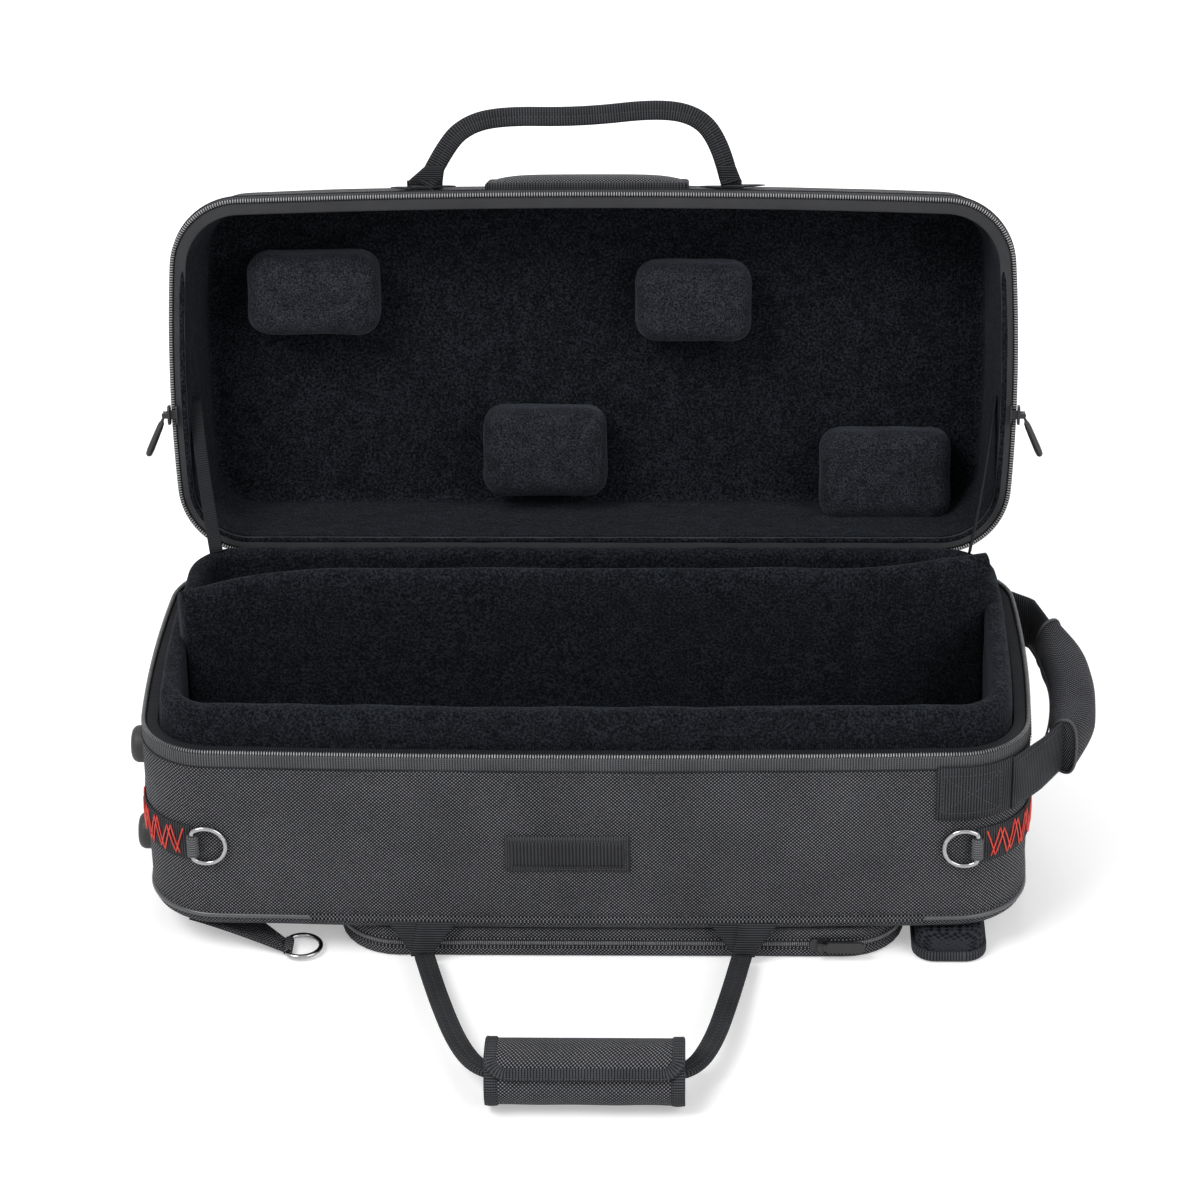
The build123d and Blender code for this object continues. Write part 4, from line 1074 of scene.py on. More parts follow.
ring = [at(s) for s in np.linspace(0, ROUND, 240, endpoint=False)]
bay_floor = [Vector((p.x - n.x * (BAY - MM), p.y - n.y * (BAY - MM))) for p, n in ring]
floor_plush = slab("front_bay_floor", bay_floor, FRONT_FLOOR - 12 * MM, FRONT_FLOOR, PLUSH, "base")
line = divider_line()
line_x, line_y = [p.x for p in line], [p.y for p in line]
behind = [p for p in bay_floor if p.y > np.interp(p.x, line_x, line_y)]
behind.sort(key=lambda p: atan2(p.y - 0.06, p.x))
step = slab("rear_bay_step", behind, FRONT_FLOOR, REAR_FLOOR, PLUSH, "base")
print("floors at", FRONT_FLOOR, "and", REAR_FLOOR, "m")

# %% [markdown]
# A curved board in plush divides the bays. It bends away from each trumpet's bell, and its soft
# top edge dips a little towards the ends. It is swept like a strip that stands on its edge, and
# each frame's height carries the dip.

# %% Divider
DIVIDER_SIDE = [(6.8, 60), (6.8, 100), (6.8, 140), (6.8, 170), (6.8, 190), (6.8, 203), (6.3, 208),
                (4.6, 212), (2, 213.8)]
section = [(-x, z) for x, z in DIVIDER_SIDE] + [(0, 214.2)] + DIVIDER_SIDE[::-1] + [(0, 60)]
frames = [(o, a, Vector((0, 0, 1 - 0.012 * (abs(o.x) / 0.25) ** 4)))
          for o, a, _ in strap_frames(line, (0, 0, 1))]
divider = sweep("divider", frames, [(x * MM, z * MM) for x, z in section], PLUSH, "base")
ripple(divider, 1.2 * MM, 0.05, 3.0)
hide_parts("bay_divider")
print("divider points:", len(divider.data.vertices))

# %% [markdown]
# The lid is a shallow bowl whose walls lean in by six degrees, with a soft rounded roof. It is
# built shut, as its pattern is drawn, and every point is then swung open about the hinge. The
# bowl has an inner face as well, so that the cloth shows its thickness at the edge.

# %% Cover of the lid
ROOF_ROUND = 15 * MM
outside = climb(0, RIM + TAPE, ROOF - ROOF_ROUND, 16, LEAN)
roof_inset = (ROOF - ROOF_ROUND - RIM) * LEAN
outside += [(roof_inset + LEAN * 8 * MM + ROOF_ROUND * (1 - cos(t)), ROOF - ROOF_ROUND * (1 - sin(t)))
            for t in quarter(7, 1)]
inside = [(x + THICK, min(z, ROOF - THICK)) for x, z in outside[::-1]][:-1]
lid_cloth = bowl("lid_cloth", outline_frames(step=5 * MM),
                 inside + [(THICK + TAPE * LEAN, RIM + TAPE)] + outside, NYLON, "lid", lid=True)
ripple(lid_cloth, 0.5 * MM, 0.06, 5.0)
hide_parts("lid_cover")
print("lid cover faces:", len(lid_cloth.data.polygons))

# %% [markdown]
# The lining is a second bowl inside the first: plush over thin foam, with a tighter round where
# wall meets roof. The cover's inner face could carry the plush itself, but then no edge of the
# lining would show at the rim, so it is a closed piece with a thickness of its own.

# %% Lining of the lid
LINING_TOP, LINING_ROUND = ROOF - 8.4 * MM, 8 * MM
lining = climb(8.6 * MM, RIM + 5 * MM, LINING_TOP - LINING_ROUND, 12, LEAN)
edge = lining[-1][0]
lining += [(edge + LINING_ROUND * (1 - cos(t)), LINING_TOP - LINING_ROUND * (1 - sin(t)))
           for t in quarter(4, 1)]
inner = [(x + 1.5 * MM, min(z, ROOF - 10 * MM)) for x, z in lining[::-1]]
lid_plush = bowl("lid_plush", outline_frames(step=5 * MM), inner + lining, PLUSH, "lid", lid=True)
ripple(lid_plush, 0.35 * MM, 0.05, 9.0)
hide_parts("lid_lining")
print("lining faces:", len(lid_plush.data.polygons))

# %% [markdown]
# Four soft blocks under the roof hold the trumpets down. Each is foam in plush: fuller in the
# middle than at its edges, and round at every corner. A cube with a bevel would have flat sides,
# so a cube's points are moved out to a rounded box, one by one. The side at the roof stays open.

# %% Pads
PADS = ((-236, -146, 146, 202, 42), (28, 107, 141, 195, 42), (-77, 8, 32, 94, 38),
        (154, 244, 16, 78, 38))
CEILING = ROOF - 10 * MM
PAD_STEPS, PAD_ROUND = 14, 14 * MM


def on_round_box(centre, half, share):
    """A point of a cube, from -1 to 1 each way, moved to a box with round corners."""
    box = Vector([a * b for a, b in zip(share, half)])
    core = Vector([max(-h + PAD_ROUND, min(h - PAD_ROUND, b)) for h, b in zip(half, box)])
    out = box - core
    return centre + (core + out.normalized() * PAD_ROUND if out.length > 1e-9 else box)


def plush_pad(number, left, right, near, far, depth):
    """A pad by its reach to the left and right, in from the hinge, and down from the ceiling."""
    centre = Vector(((left + right) / 2 * MM, HINGE.y - (near + far) / 2 * MM,
                     CEILING - depth / 2 * MM))
    half = Vector(((right - left) / 2 * MM, (far - near) / 2 * MM, depth / 2 * MM))
    verts, index, faces = [], {}, []
    for axis, sign in ((0, -1), (0, 1), (1, -1), (1, 1), (2, -1)):
        for i in range(PAD_STEPS):
            for j in range(PAD_STEPS):
                quad = []
                for di, dj in ((0, 0), (1, 0), (1, 1), (0, 1)):
                    share = [0, 0, 0]
                    share[axis] = sign
                    share[(axis + 1) % 3] = -1 + 2 * (i + di) / PAD_STEPS
                    share[(axis + 2) % 3] = -1 + 2 * (j + dj) / PAD_STEPS
                    key = tuple(round(x, 6) for x in share)
                    if key not in index:
                        index[key] = len(verts)
                        verts.append(on_round_box(centre, half, share))
                    quad.append(index[key])
                faces.append(tuple(quad))
    # the pads take the lighter copy of the plush, which is painted light
    pad = make(f"pad_{number}", verts, faces, None, PAD_PLUSH_PAINTED_LIGHT, "lid", lid=True)
    ripple(pad, 0.9 * MM, 0.022, number)
    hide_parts(f"lid_pad_{number}")


for number, sizes in enumerate(PADS, 1):
    plush_pad(number, *sizes)
print("pads:", len(PADS))

# %% [markdown]
# Each carrying handle is webbing folded lengthwise and sewn, so its edges are full and its middle
# is a shallow groove with a row of stitches. It is swept along the route it takes, and the
# grooved section does the rest. The stitches follow the same frames, moved to the groove and to
# both edges.


# %% Folded webbing with its stitches
def stitches(name, frames, body, lid=False, pitch=STITCH_PITCH):
    """A row of stitches along a line of frames."""
    piece = scatter(name, spaced(frames, pitch), STITCH, THREAD, body, lid)
    return piece


def folded(wide, thick, steps=36, groove=0.3):
    """The section of folded webbing: full edges and a sewn groove along the middle."""
    points = []
    for t in (2 * pi * k / steps for k in range(steps)):
        x, z = squared(cos(t), 0.6) * wide / 2, squared(sin(t), 0.6) * thick / 2
        points.append((x, z * (1 - groove * 2.7 ** -((x / (0.13 * wide)) ** 2))))
    return points


def handle(name, line, up, body, node_name, lid=False):
    """Webbing along a line, sewn along its middle on both faces and along both edges."""
    frames = strap_frames(line, up)
    strap = sweep(name, frames, folded(13 * MM, 5 * MM), WEBBING, body, lid=lid)
    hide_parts(node_name)
    for word, across, lift in (("upper", 0, 1.85), ("lower", 0, -1.85),
                               ("left_edge", -4.6, 2.3), ("right_edge", 4.6, 2.3)):
        stitches(f"{name}_{word}_stitches", shifted(frames, across * MM, lift * MM), body,
                 lid=lid)


print("folded webbing has", len(folded(13 * MM, 5 * MM)), "points in its section")

# %% [markdown]
# The lid's handle is a soft loop on the lid's front wall. Its route is written for the shut lid,
# as places to the side and out from the line it swings about, with a softly rounded corner at
# each. The two ends of the route lie behind that line, and are cut off just past it.

# %% Lid handle
LID_ROUTE = ((-115, -7), (-101, 20), (-88, 37), (-64, 45), (-8, 44), (46, 50), (72, 44), (85, 26),
             (94, -7))
LID_PIVOT = SWING.inverted() @ Vector(JOINTS["lid_handle_hinge"]["pos_m"])
lid_line = soft_route([Vector((x * MM, LID_PIVOT.y - run * MM, LID_PIVOT.z))
                       for x, run in LID_ROUTE])
lid_line = [p for p in lid_line if p.y < LID_PIVOT.y + 2 * MM]
handle("lid_handle_webbing", lid_line, (0, 0, 1), "lid_handle", "lid_handle_strap", lid=True)
print("lid handle points:", len(lid_line))

# %% [markdown]
# The front handle lies on the floor, a little higher towards its grip, because the padded grip
# holds it up. Its route is measured from the line that it swings about, in a plane that rises by
# the same small angle, so a few pairs of numbers give the whole loop.

# %% Front handle
PIVOT = Vector(JOINTS["front_handle_hinge"]["pos_m"])
RISE = radians(4.6)
FRONT_ROUTE = ((-104.5, -6), (-90, 56), (-75, 109), (-60, 138), (-40, 143), (48, 143), (69, 138),
               (82, 106), (92, 52), (101, -6))
front_in, front_up = Vector((0, cos(RISE), -sin(RISE))), Vector((0, sin(RISE), cos(RISE)))


def out_front(x, run):
    """A point of the front handle: sideways, and out from its pivot line."""
    return Vector((x, PIVOT.y - run * cos(RISE), PIVOT.z + run * sin(RISE)))


front_line = soft_route([out_front(x * MM, run * MM) for x, run in FRONT_ROUTE])
front_line = [p for p in front_line if p.y < PIVOT.y + 2 * MM]
handle("front_handle_webbing", front_line, tuple(front_up), "front_handle", "front_handle_strap")
print("front handle points:", len(front_line))

# %% [markdown]
# A padded sleeve of nylon closes round the middle of the front handle, and its two ends are
# bound in ribbed tape. A cylinder would look turned on a lathe. Here the section is wider than
# tall and flatter below, and each band swells a little over the sleeve's end.

# %% Grip sleeve
GRIP_LEFT, GRIP_RIGHT, GRIP_RUN = -56 * MM, 65 * MM, 143 * MM
GRIP_WIDE, GRIP_TALL, GRIP_SIDES = 20.4 * MM, 18.4 * MM, 40
BAND, BAND_STEP, BAND_ROUND = 8 * MM, 1.5 * MM, 2 * pi * 20 * MM


def grip_frames(left, right, step=4 * MM):
    """Frames along the grip, from one place on it to another."""
    count = max(2, round((right - left) / step))
    return [(out_front(left + (right - left) * k / count, GRIP_RUN), front_in, front_up)
            for k in range(count + 1)]


def band(word, low, high, section):
    """Ribbed tape round one end of the sleeve, fullest along its middle."""
    ends, sides = grip_frames(low, high, BAND_STEP), len(section)
    verts, last = [], len(ends) - 1
    for k, (o, a, b) in enumerate(ends):
        swell = 1.02 + 0.03 * sin(pi * k / last)
        verts += [o + a * x * swell + b * y * swell for x, y in section]
    faces = quads(len(ends), sides)
    uvs = turned(flat_quads([k * BAND_STEP for k in range(len(ends))],
                            [BAND_ROUND * j / sides for j in range(sides + 1)]))
    for k in (0, last):
        faces.append(tuple(k * sides + j for j in range(sides)))
        uvs.append(tuple(section))
    tape = make(f"grip_{word}_binding", verts, faces, uvs, GROSGRAIN, "front_handle")


grip_section = [(GRIP_WIDE * cos(t), GRIP_TALL * sin(t) * (1 if sin(t) > 0 else 0.94))
                for t in (2 * pi * k / GRIP_SIDES for k in range(GRIP_SIDES))]
sleeve = sweep("grip_sleeve", grip_frames(GRIP_LEFT, GRIP_RIGHT), grip_section, NYLON, "front_handle")
ripple(sleeve, 0.7 * MM, 0.02, 2.0)
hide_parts("handle_grip_wrap")
band("left", GRIP_LEFT, GRIP_LEFT + BAND, grip_section)
band("right", GRIP_RIGHT - BAND, GRIP_RIGHT, grip_section)
print("grip sleeve:", round(GRIP_RIGHT - GRIP_LEFT, 4), "m")

# %% [markdown]
# Over the sleeve's top lies the closing flap, bound along its free edge, with two round corners.
# Such a flap is cut flat and then bent, so it is laid out flat here too: a place along the grip
# and a run from the sewn edge, which becomes an angle round the grip.

# %% Closing flap, laid out flat
FLAP_CORNER, FLAP_FIRST, FLAP_LAST, FLAP_ROUND = 14 * MM, -19, 156, 21.6 * MM
FLAP_WIDE, FLAP_TALL = 22.6 * MM, 20.6 * MM
FLAP_LENGTH = radians(FLAP_LAST - FLAP_FIRST) * FLAP_ROUND


def flap_point(x, turn, out=0.0):
    """A point of the flap: along the grip, and round it in degrees from the rear over the top."""
    t = radians(turn)
    return (out_front(x, GRIP_RUN) + front_in * (FLAP_WIDE + out) * cos(t)
            + front_up * (FLAP_TALL + out) * sin(t))


def flap_turn(run):
    """Where a run from the sewn edge lies round the grip, in degrees."""
    return FLAP_FIRST + degrees(run / FLAP_ROUND)


def flap_end(x):
    """How long the flap is at a place along the grip; its two free corners are round."""
    near_end = min(x - GRIP_LEFT, GRIP_RIGHT - x)
    if near_end >= FLAP_CORNER:
        return FLAP_LENGTH
    return FLAP_LENGTH - FLAP_CORNER + sqrt(max(FLAP_CORNER ** 2 - (FLAP_CORNER - near_end) ** 2, 0))


columns = [GRIP_LEFT + (GRIP_RIGHT - GRIP_LEFT) * (1 - cos(pi * k / 40)) / 2 for k in range(41)]
rows = [[flap_point(x, flap_turn(flap_end(x) * share / 18)) for x in columns]
        for share in range(19)]
cloth = patch("grip_flap_cloth", rows, 2.2 * MM, NYLON, "grip_flap")
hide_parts("handle_grip_flap")
print("flap laid flat:", round(FLAP_LENGTH, 4), "m from its sewn edge")

# %% [markdown]
# Ribbed tape folds over the flap's free edge. Its line runs a little inside that edge, down one
# side, round the corners and up the other, and the tape's section is wide enough to cover it.
# A row of stitches holds its inner edge.

# %% Binding of the flap
inset, turn = 3.8 * MM, FLAP_CORNER - 3.8 * MM
left, right, far = GRIP_LEFT + inset, GRIP_RIGHT - inset, FLAP_LENGTH - inset
side_runs = [(far - turn) * k / 14 + 3 * MM * (1 - k / 14) for k in range(14)]
flat = [(left, run) for run in side_runs]
flat += [(left + turn * (1 - cos(t)), far - turn * (1 - sin(t))) for t in quarter(8)]
flat += [(left + turn + (right - left - 2 * turn) * k / 26, far) for k in range(1, 26)]
flat += [(right - turn * (1 - sin(t)), far - turn * (1 - cos(t))) for t in quarter(8)]
flat += [(right, run) for run in side_runs[::-1]]
route = [flap_point(x, flap_turn(run), 0.3 * MM) for x, run in flat]
ups = [(p - out_front(p.x, GRIP_RUN)).normalized() for p in route]
tape = sweep("grip_flap_binding", strap_frames(route, ups), rounded(7.6 * MM, 3.4 * MM, 1.2 * MM),
             GROSGRAIN, "grip_flap")
hem = strap_frames([p + up * 1.75 * MM for p, up in zip(route, ups)], ups)
stitches("grip_flap_stitches", shifted(hem, 2.6 * MM, 0), "grip_flap",
         pitch=3 * MM)
print("binding points:", len(route))

# %% [markdown]
# The handles hang on triangles of webbing, folded so that two plies cross at the foot. Each ply
# is a tapered sheet with its own ribs, and the upper one lies a little proud. One sheet with a
# drawn fold would save a piece, but the crossing edges are what shows.


# %% Handle tabs
def tab(name, x, top, foot, out, body, lid=False):
    """Two crossing plies from a wide sewn top to a narrow foot; out is the way they face."""
    wide, narrow, tip = 22 * MM, 3 * MM, 7.5 * MM
    pieces = []
    for word, side, lift in (("under", -1, 0.0), ("over", 1, 1.2 * MM)):
        corners = [Vector((x + side * across, *ends)) + Vector(out) * lift for across, ends in
                   ((wide, top), (-narrow, top), (-tip, foot), (tip * 0.75, foot))]
        pieces.append(patch(f"{name}_{word}_ply", lerp_grid(corners, 10, 8), 1.5 * MM, WEBBING,
                            body, lid))
    return pieces


FRONT_FEET = {"left": FRONT_ROUTE[0][0], "right": FRONT_ROUTE[-1][0]}
tabs = []
for word, x in FRONT_FEET.items():
    x *= MM
    top = (front_line_y(x) - 1.0 * MM, BASE + 7 * MM)
    foot = (PIVOT.y + 3.4 * MM, PIVOT.z - 3 * MM)
    tabs += tab(f"front_{word}_tab", x, top, foot, (0, -0.8, 0.2), "base")
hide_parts("front_handle_tabs")

LID_FEET = {"left": LID_ROUTE[0][0], "right": LID_ROUTE[-1][0]}
tabs = []
for word, x in LID_FEET.items():
    x *= MM
    wall = front_line_y(x) + 40 * MM * LEAN
    top = (wall + 12 * MM * LEAN - 1.2 * MM, RIM + 52 * MM)
    foot = (wall - 12 * MM * LEAN - 1.6 * MM, RIM + 28 * MM)
    tabs += tab(f"lid_{word}_tab", x, top, foot, (0, -0.7, 0), "lid", lid=True)
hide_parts("lid_handle_tabs")
print("tabs folded:", 2 * len(tabs), "plies")

# %% [markdown]
# At each foot of the lid's handle the webbing opens into two plies that grip the fold it swings
# about. The fold is a round knuckle on the pivot line, which turns with the handle, and the root
# behind it stays on the lid. Split like this, neither cuts through the other when it swings.


# %% Feet of the lid's handle
def at_foot(across, run, lift=0.0):
    """A point at the lid handle's foot, in millimetres from its pivot line."""
    return Vector((across * MM, LID_PIVOT.y - run * MM, LID_PIVOT.z + lift))


for word, low, high in (("left", (-10, 14), (3.6, 15.6)), ("right", (-8, 6), (-10.6, 1.2))):
    x = LID_FEET[word]
    for place, lift in (("near", -3.0 * MM), ("far", 3.0 * MM)):
        corners = [at_foot(x + across, run, lift * tight) for across, run, tight in
                   ((low[0], 0.4, 0.45), (low[1], 0.4, 0.45), (high[1], 12, 1.05), (high[0], 12, 1.05))]
        ply = patch(f"lid_{word}_{place}_ply", lerp_grid(corners, 8, 8), 1.2 * MM, WEBBING,
                    "lid_handle", lid=True)
    corners = [at_foot(x + across, run) for across, run in
               ((low[0], -4.4), (low[1], -4.4), (low[1], -1.4), (low[0], -1.4))]
    root = patch(f"lid_{word}_root", lerp_grid(corners, 8, 4), 1.2 * MM, WEBBING, "lid", lid=True)
    line = [at_foot(x + low[0] + (low[1] - low[0]) * k / 8, 0) for k in range(9)]
    knuckle = sweep(f"lid_{word}_knuckle", strap_frames(line, (0, 0, 1)),
                    oval(0, 0, 1.6 * MM, 1.6 * MM, 12), WEBBING, "lid_handle", lid=True)
print("lid handle swings at", [round(c, 4) for c in LID_PIVOT])

# %% [markdown]
# A strip of loop tape is sewn on the front for a tag. Its middle is napped in ribs, and its
# woven border is smooth, so it is two sheets, one on the other. They follow the bowed front, and
# a row of stitches runs round the border.


# %% Loop tape on the front
def on_front(x, z, out):
    """A point that stands out from the bowed front."""
    return Vector((x, front_line_y(x) - out, z))


def front_grid(left, right, low, high, out, cols, rows):
    """A grid of points over a part of the front."""
    return [[on_front(left + (right - left) * i / cols, low + (high - low) * j / rows, out)
             for j in range(rows + 1)] for i in range(cols + 1)]


def sides_of(corners):
    """The sides of a closed form, counted from 1, each as a pair of corners."""
    return enumerate(zip(corners, corners[1:] + corners[:1]), 1)


LEFT, RIGHT, LOW, HIGH = [c * MM for c in (-49.5, 29, 68.5, 94.5)]
HEM = 1.8 * MM
strip = patch("loop_tape_border", front_grid(LEFT, RIGHT, LOW, HIGH, 0.7 * MM, 24, 8), 0.9 * MM,
              LOOP_EDGE, "base")
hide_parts("hook_patch")
nap = patch("loop_tape_middle", front_grid(LEFT + 3.5 * MM, RIGHT - 3.5 * MM, LOW + 4 * MM,
                                           HIGH - 4 * MM, 1.2 * MM, 36, 8),
            1.2 * MM, LOOP_RIBS, "base")
ripple(nap, 0.4 * MM, 0.006)
corners = [(LEFT + HEM, LOW + HEM), (RIGHT - HEM, LOW + HEM), (RIGHT - HEM, HIGH - HEM),
           (LEFT + HEM, HIGH - HEM)]
for k, (a, b) in sides_of(corners):
    line = [on_front(a[0] + (b[0] - a[0]) * t / 12, a[1] + (b[1] - a[1]) * t / 12, 1.2 * MM)
            for t in range(13)]
    stitches(f"loop_tape_stitches_{k}", strap_frames(line, (0, -1, 0)), "base",
             pitch=2.6 * MM)
print("loop tape:", round(RIGHT - LEFT, 4), "by", round(HIGH - LOW, 4), "m")

# %% [markdown]
# The side handle is one length of webbing. Its ends are sewn flat on the front and on the back,
# and it leaves the case at the round corners. These flat tails follow the outline itself, so they
# are grids laid round it, with a crossed box of stitches that is drawn in shares of the tail.


# %% Places round the outline
def distance_to(point):
    """How far along the outline the nearest point to this one lies."""
    gaps = np.linalg.norm(OUTLINE_POINTS - np.array(point[:2]), axis=1)
    return OUTLINE_RUN[int(np.argmin(gaps))]


def off_wall(s, out, z):
    """A point off the outline at a distance along it, and the way it faces."""
    p, n = at(s)
    return Vector((p.x + n.x * out, p.y + n.y * out, z)), Vector((n.x, n.y, 0))


def wrap_grid(start, stop, low, high, out, cols, rows):
    """A grid round the outline, from one distance along it to another."""
    return [[off_wall(start + (stop - start) * i / cols, out, low + (high - low) * j / rows)[0]
             for j in range(rows + 1)] for i in range(cols + 1)]


print("the front's middle is", round(distance_to((0, FRONT)), 4), "m round from the back's")

# %% Tails of the side handle
SIDE_Z, WEB = Vector(JOINTS["side_handle_hinge"]["pos_m"]).z, 38 * MM
TAIL_END, SEAM_OUT, SEAM_STEPS = 221 * MM, 2.55 * MM, 14
CORNER_SWING = {-1: Vector((267.49, -106.3)) * MM, 1: Vector((267.7, 110.0)) * MM}
SIDES = (("front", -1), ("back", 1))
BOX = ((0.06, 0.14), (0.8, 0.14), (0.8, 0.86), (0.06, 0.86))
SEAMS = {f"box_{k}": ends for k, ends in sides_of(BOX)}
SEAMS.update(cross_1=(BOX[0], BOX[2]), cross_2=(BOX[3], BOX[1]))
for word, side in SIDES:
    flat = front_line_y(TAIL_END) if side < 0 else BACK
    start, stop = distance_to((TAIL_END, flat)), distance_to(CORNER_SWING[side])
    grid = wrap_grid(start, stop, SIDE_Z - WEB / 2, SIDE_Z + WEB / 2, 1.35 * MM, 20, 10)
    patch(f"side_{word}_tail", grid, 2.3 * MM, WEBBING, "base")
    for name, (a, b) in SEAMS.items():
        line = []
        for t in range(SEAM_STEPS + 1):
            u = a[0] + (b[0] - a[0]) * t / SEAM_STEPS
            v = a[1] + (b[1] - a[1]) * t / SEAM_STEPS
            line.append(off_wall(start + (stop - start) * u, SEAM_OUT, SIDE_Z - WEB / 2 + WEB * v))
        stitches(f"side_{word}_{name}", strap_frames([p for p, _ in line], [n for _, n in line]),
                 "base", pitch=3.0 * MM)
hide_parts("side_handle_tails")
print("tails sewn with", len(SEAMS), "seams each")

# %% [markdown]
# From each corner an arm of the same webbing goes out to the grip, and narrows a little as it is
# gathered there. It bends at a knee, where stiff webbing does. Both arms are sheets on the
# handle's own body, so they turn with it, and leave their tails sewn on.

# %% Arms of the side handle
GRIP_BEND, GRIP_OUT = 305 * MM, 315 * MM
CORNER_CENTRE = {-1: Vector((234.3 * MM, -71.71 * MM)), 1: Vector((234.3 * MM, 76 * MM))}
KNEE = 0.55
for word, side in SIDES:
    centre = CORNER_CENTRE[side]
    leave = CORNER_SWING[side] + (CORNER_SWING[side] - centre).normalized() * 3.0 * MM
    into_grip = Vector((GRIP_BEND + 1.6 * MM, side * 58 * MM))
    knee = leave.lerp(Vector((GRIP_BEND, side * 66 * MM)), KNEE)
    if side > 0:
        knee += Vector((6.5, 5.5)) * MM
    grid = []
    for t in (i / 16 for i in range(17)):
        p = (leave.lerp(knee, min(t * 1.8, 1)) if t < KNEE
             else knee.lerp(into_grip, (t - KNEE) / (1 - KNEE)))
        half = WEB / 2 * (1 - 0.06 * max(0, (t - 0.45) / 0.55) ** 1.5)
        grid.append([Vector((p.x, p.y, SIDE_Z - half + 2 * half * j / 12)) for j in range(13)])
    patch(f"side_{word}_arm", grid, 2.2 * MM, WEBBING, "side_handle")
    for j, height in ((1, "lower"), (11, "upper")):
        line = [row[j] for row in grid[1:-2]]
        out = (Vector((line[-1].y - line[0].y, line[0].x - line[-1].x, 0)) * -side).normalized()
        stitches(f"side_{word}_arm_{height}_stitches",
                 strap_frames([p + out * 1.15 * MM for p in line], tuple(out)), "side_handle",
                 pitch=3.2 * MM)
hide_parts("side_handle_strap")
print("arms reach", GRIP_BEND, "m")

# %% [markdown]
# A padded tube of nylon closes round the middle of the side handle. It is bent with the webbing
# and pressed flat round it towards its two ends, where a rolled hem closes it, and a flat seam
# runs along its inner side. The tube is first swept along an even arc, and its points are pressed
# afterwards, as the real tube is by its webbing.

# %% Line and section of the padded tube
TUBE_HALF, TUBE_WIDE, TUBE_TALL, TUBE_FULL = 64 * MM, 14.4 * MM, 17.4 * MM, 0.85
ARC_HALF = 66 * MM


def grip_line(half, steps=32):
    """The grip's arc through its two ends and its middle, seen from above."""
    rise = GRIP_OUT - GRIP_BEND
    radius = (rise ** 2 + ARC_HALF ** 2) / (2 * rise)
    return [Vector((GRIP_OUT - radius + sqrt(radius ** 2 - y ** 2), y, SIDE_Z))
            for y in (-half + 2 * half * k / steps for k in range(steps + 1))]


def tube_section(steps):
    """A full oval, nearly a box with very round corners."""
    return [(squared(cos(t), TUBE_FULL) * TUBE_WIDE, squared(sin(t), TUBE_FULL) * TUBE_TALL)
            for t in (2 * pi * k / steps for k in range(steps))]


def pressed(point):
    """The tube is pressed flat round the webbing towards its two ends."""
    end = max(0, (abs(point.y) - 34 * MM) / (32 * MM)) ** 1.6
    middle = GRIP_BEND + (GRIP_OUT - GRIP_BEND) * (1 - (point.y / ARC_HALF) ** 2)
    point.x = middle + (point.x - middle) * (1 - 0.42 * end)
    point.z = SIDE_Z + (point.z - SIDE_Z) * (1 + 0.12 * end)
    return point


print("round the padded tube:", round(distances([Vector(p) for p in tube_section(40)], True)[-1], 4), "m")

# %% Padded tube of the side handle
tube_frames = strap_frames(grip_line(TUBE_HALF), (0, 0, 1))
tube = sweep("side_grip_tube", tube_frames, tube_section(40), SOFT_NYLON, "side_handle")
for v in tube.data.vertices:
    v.co = pressed(v.co)
ripple(tube, 0.6 * MM, 0.02, 4.0)
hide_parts("side_handle_grip")
for word, (o, across, up) in (("front", tube_frames[0]), ("back", tube_frames[-1])):
    edge = [pressed(o + across * x + up * y) for x, y in tube_section(48)]
    middle = sum(edge, Vector()) / 48
    edge.append(edge[0])
    rim = sweep(f"side_grip_{word}_hem", strap_frames(edge, [(p - middle).normalized() for p in edge]),
                oval(0, 0, 1.3 * MM, 1.0 * MM, 10), THREAD, "side_handle")
inner = [p - Vector((14.6 * MM, 0, 0)) for p in grip_line(63 * MM)]
seam_cord = sweep("side_grip_seam", strap_frames(inner, (0, 0, 1)), oval(0, 0, 0.7 * MM, 1.6 * MM, 10),
                  TAPE_CLOTH, "side_handle")
print("tube:", 2 * TUBE_HALF, "m")

# %% [markdown]
# A tab of webbing holds each D-ring. It runs round the corner, and its end is rolled round the
# ring's straight bar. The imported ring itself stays, in chrome, and the roll is a short round
# strip on its bar.

# %% D-ring tabs
TAB_LOW, TAB_HIGH = 72.5 * MM, 97.5 * MM
BAR_X = 248 * MM
TAB_START = distance_to((BAR_X + 1.5 * MM, front_line_y(BAR_X)))
TAB_STOP = distance_to((end_line(-38 * MM), -38 * MM))
for word, side in (("right", 1), ("left", -1)):
    bar = Vector(JOINTS[f"d_ring_{word}_hinge"]["pos_m"])
    grid = wrap_grid(TAB_START, TAB_STOP, TAB_LOW, TAB_HIGH, 1.0 * MM, 26, 8)
    grid = [[Vector((side * p.x, p.y, p.z)) for p in row] for row in grid]
    strap = patch(f"d_ring_{word}_webbing", grid, 1.5 * MM, WEBBING, "base")
    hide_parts(f"d_ring_tab_{word}")
    roll = [(bar + Vector((0, 0, z * MM)), Vector((1, 0, 0)), Vector((0, 1, 0)))
            for z in (-6.9, -5.5, -3, 0, 3, 5.5, 6.9)]
    eye = sweep(f"d_ring_{word}_loop", roll, oval(0, 0, 3.7 * MM, 3.7 * MM, 20)[::-1],
                LOOP_WEBBING, "base")
print("tabs run", round(abs(TAB_STOP - TAB_START), 4), "m round the corners")

# %% [markdown]
# Two rows of red zigzag that cross each other sew each tab down. Thick thread shows as a cord
# that rises between its holes, so each row is one thin round strip from hole to hole. The holes
# are not quite even, as a sewing machine leaves them on a bent strap.

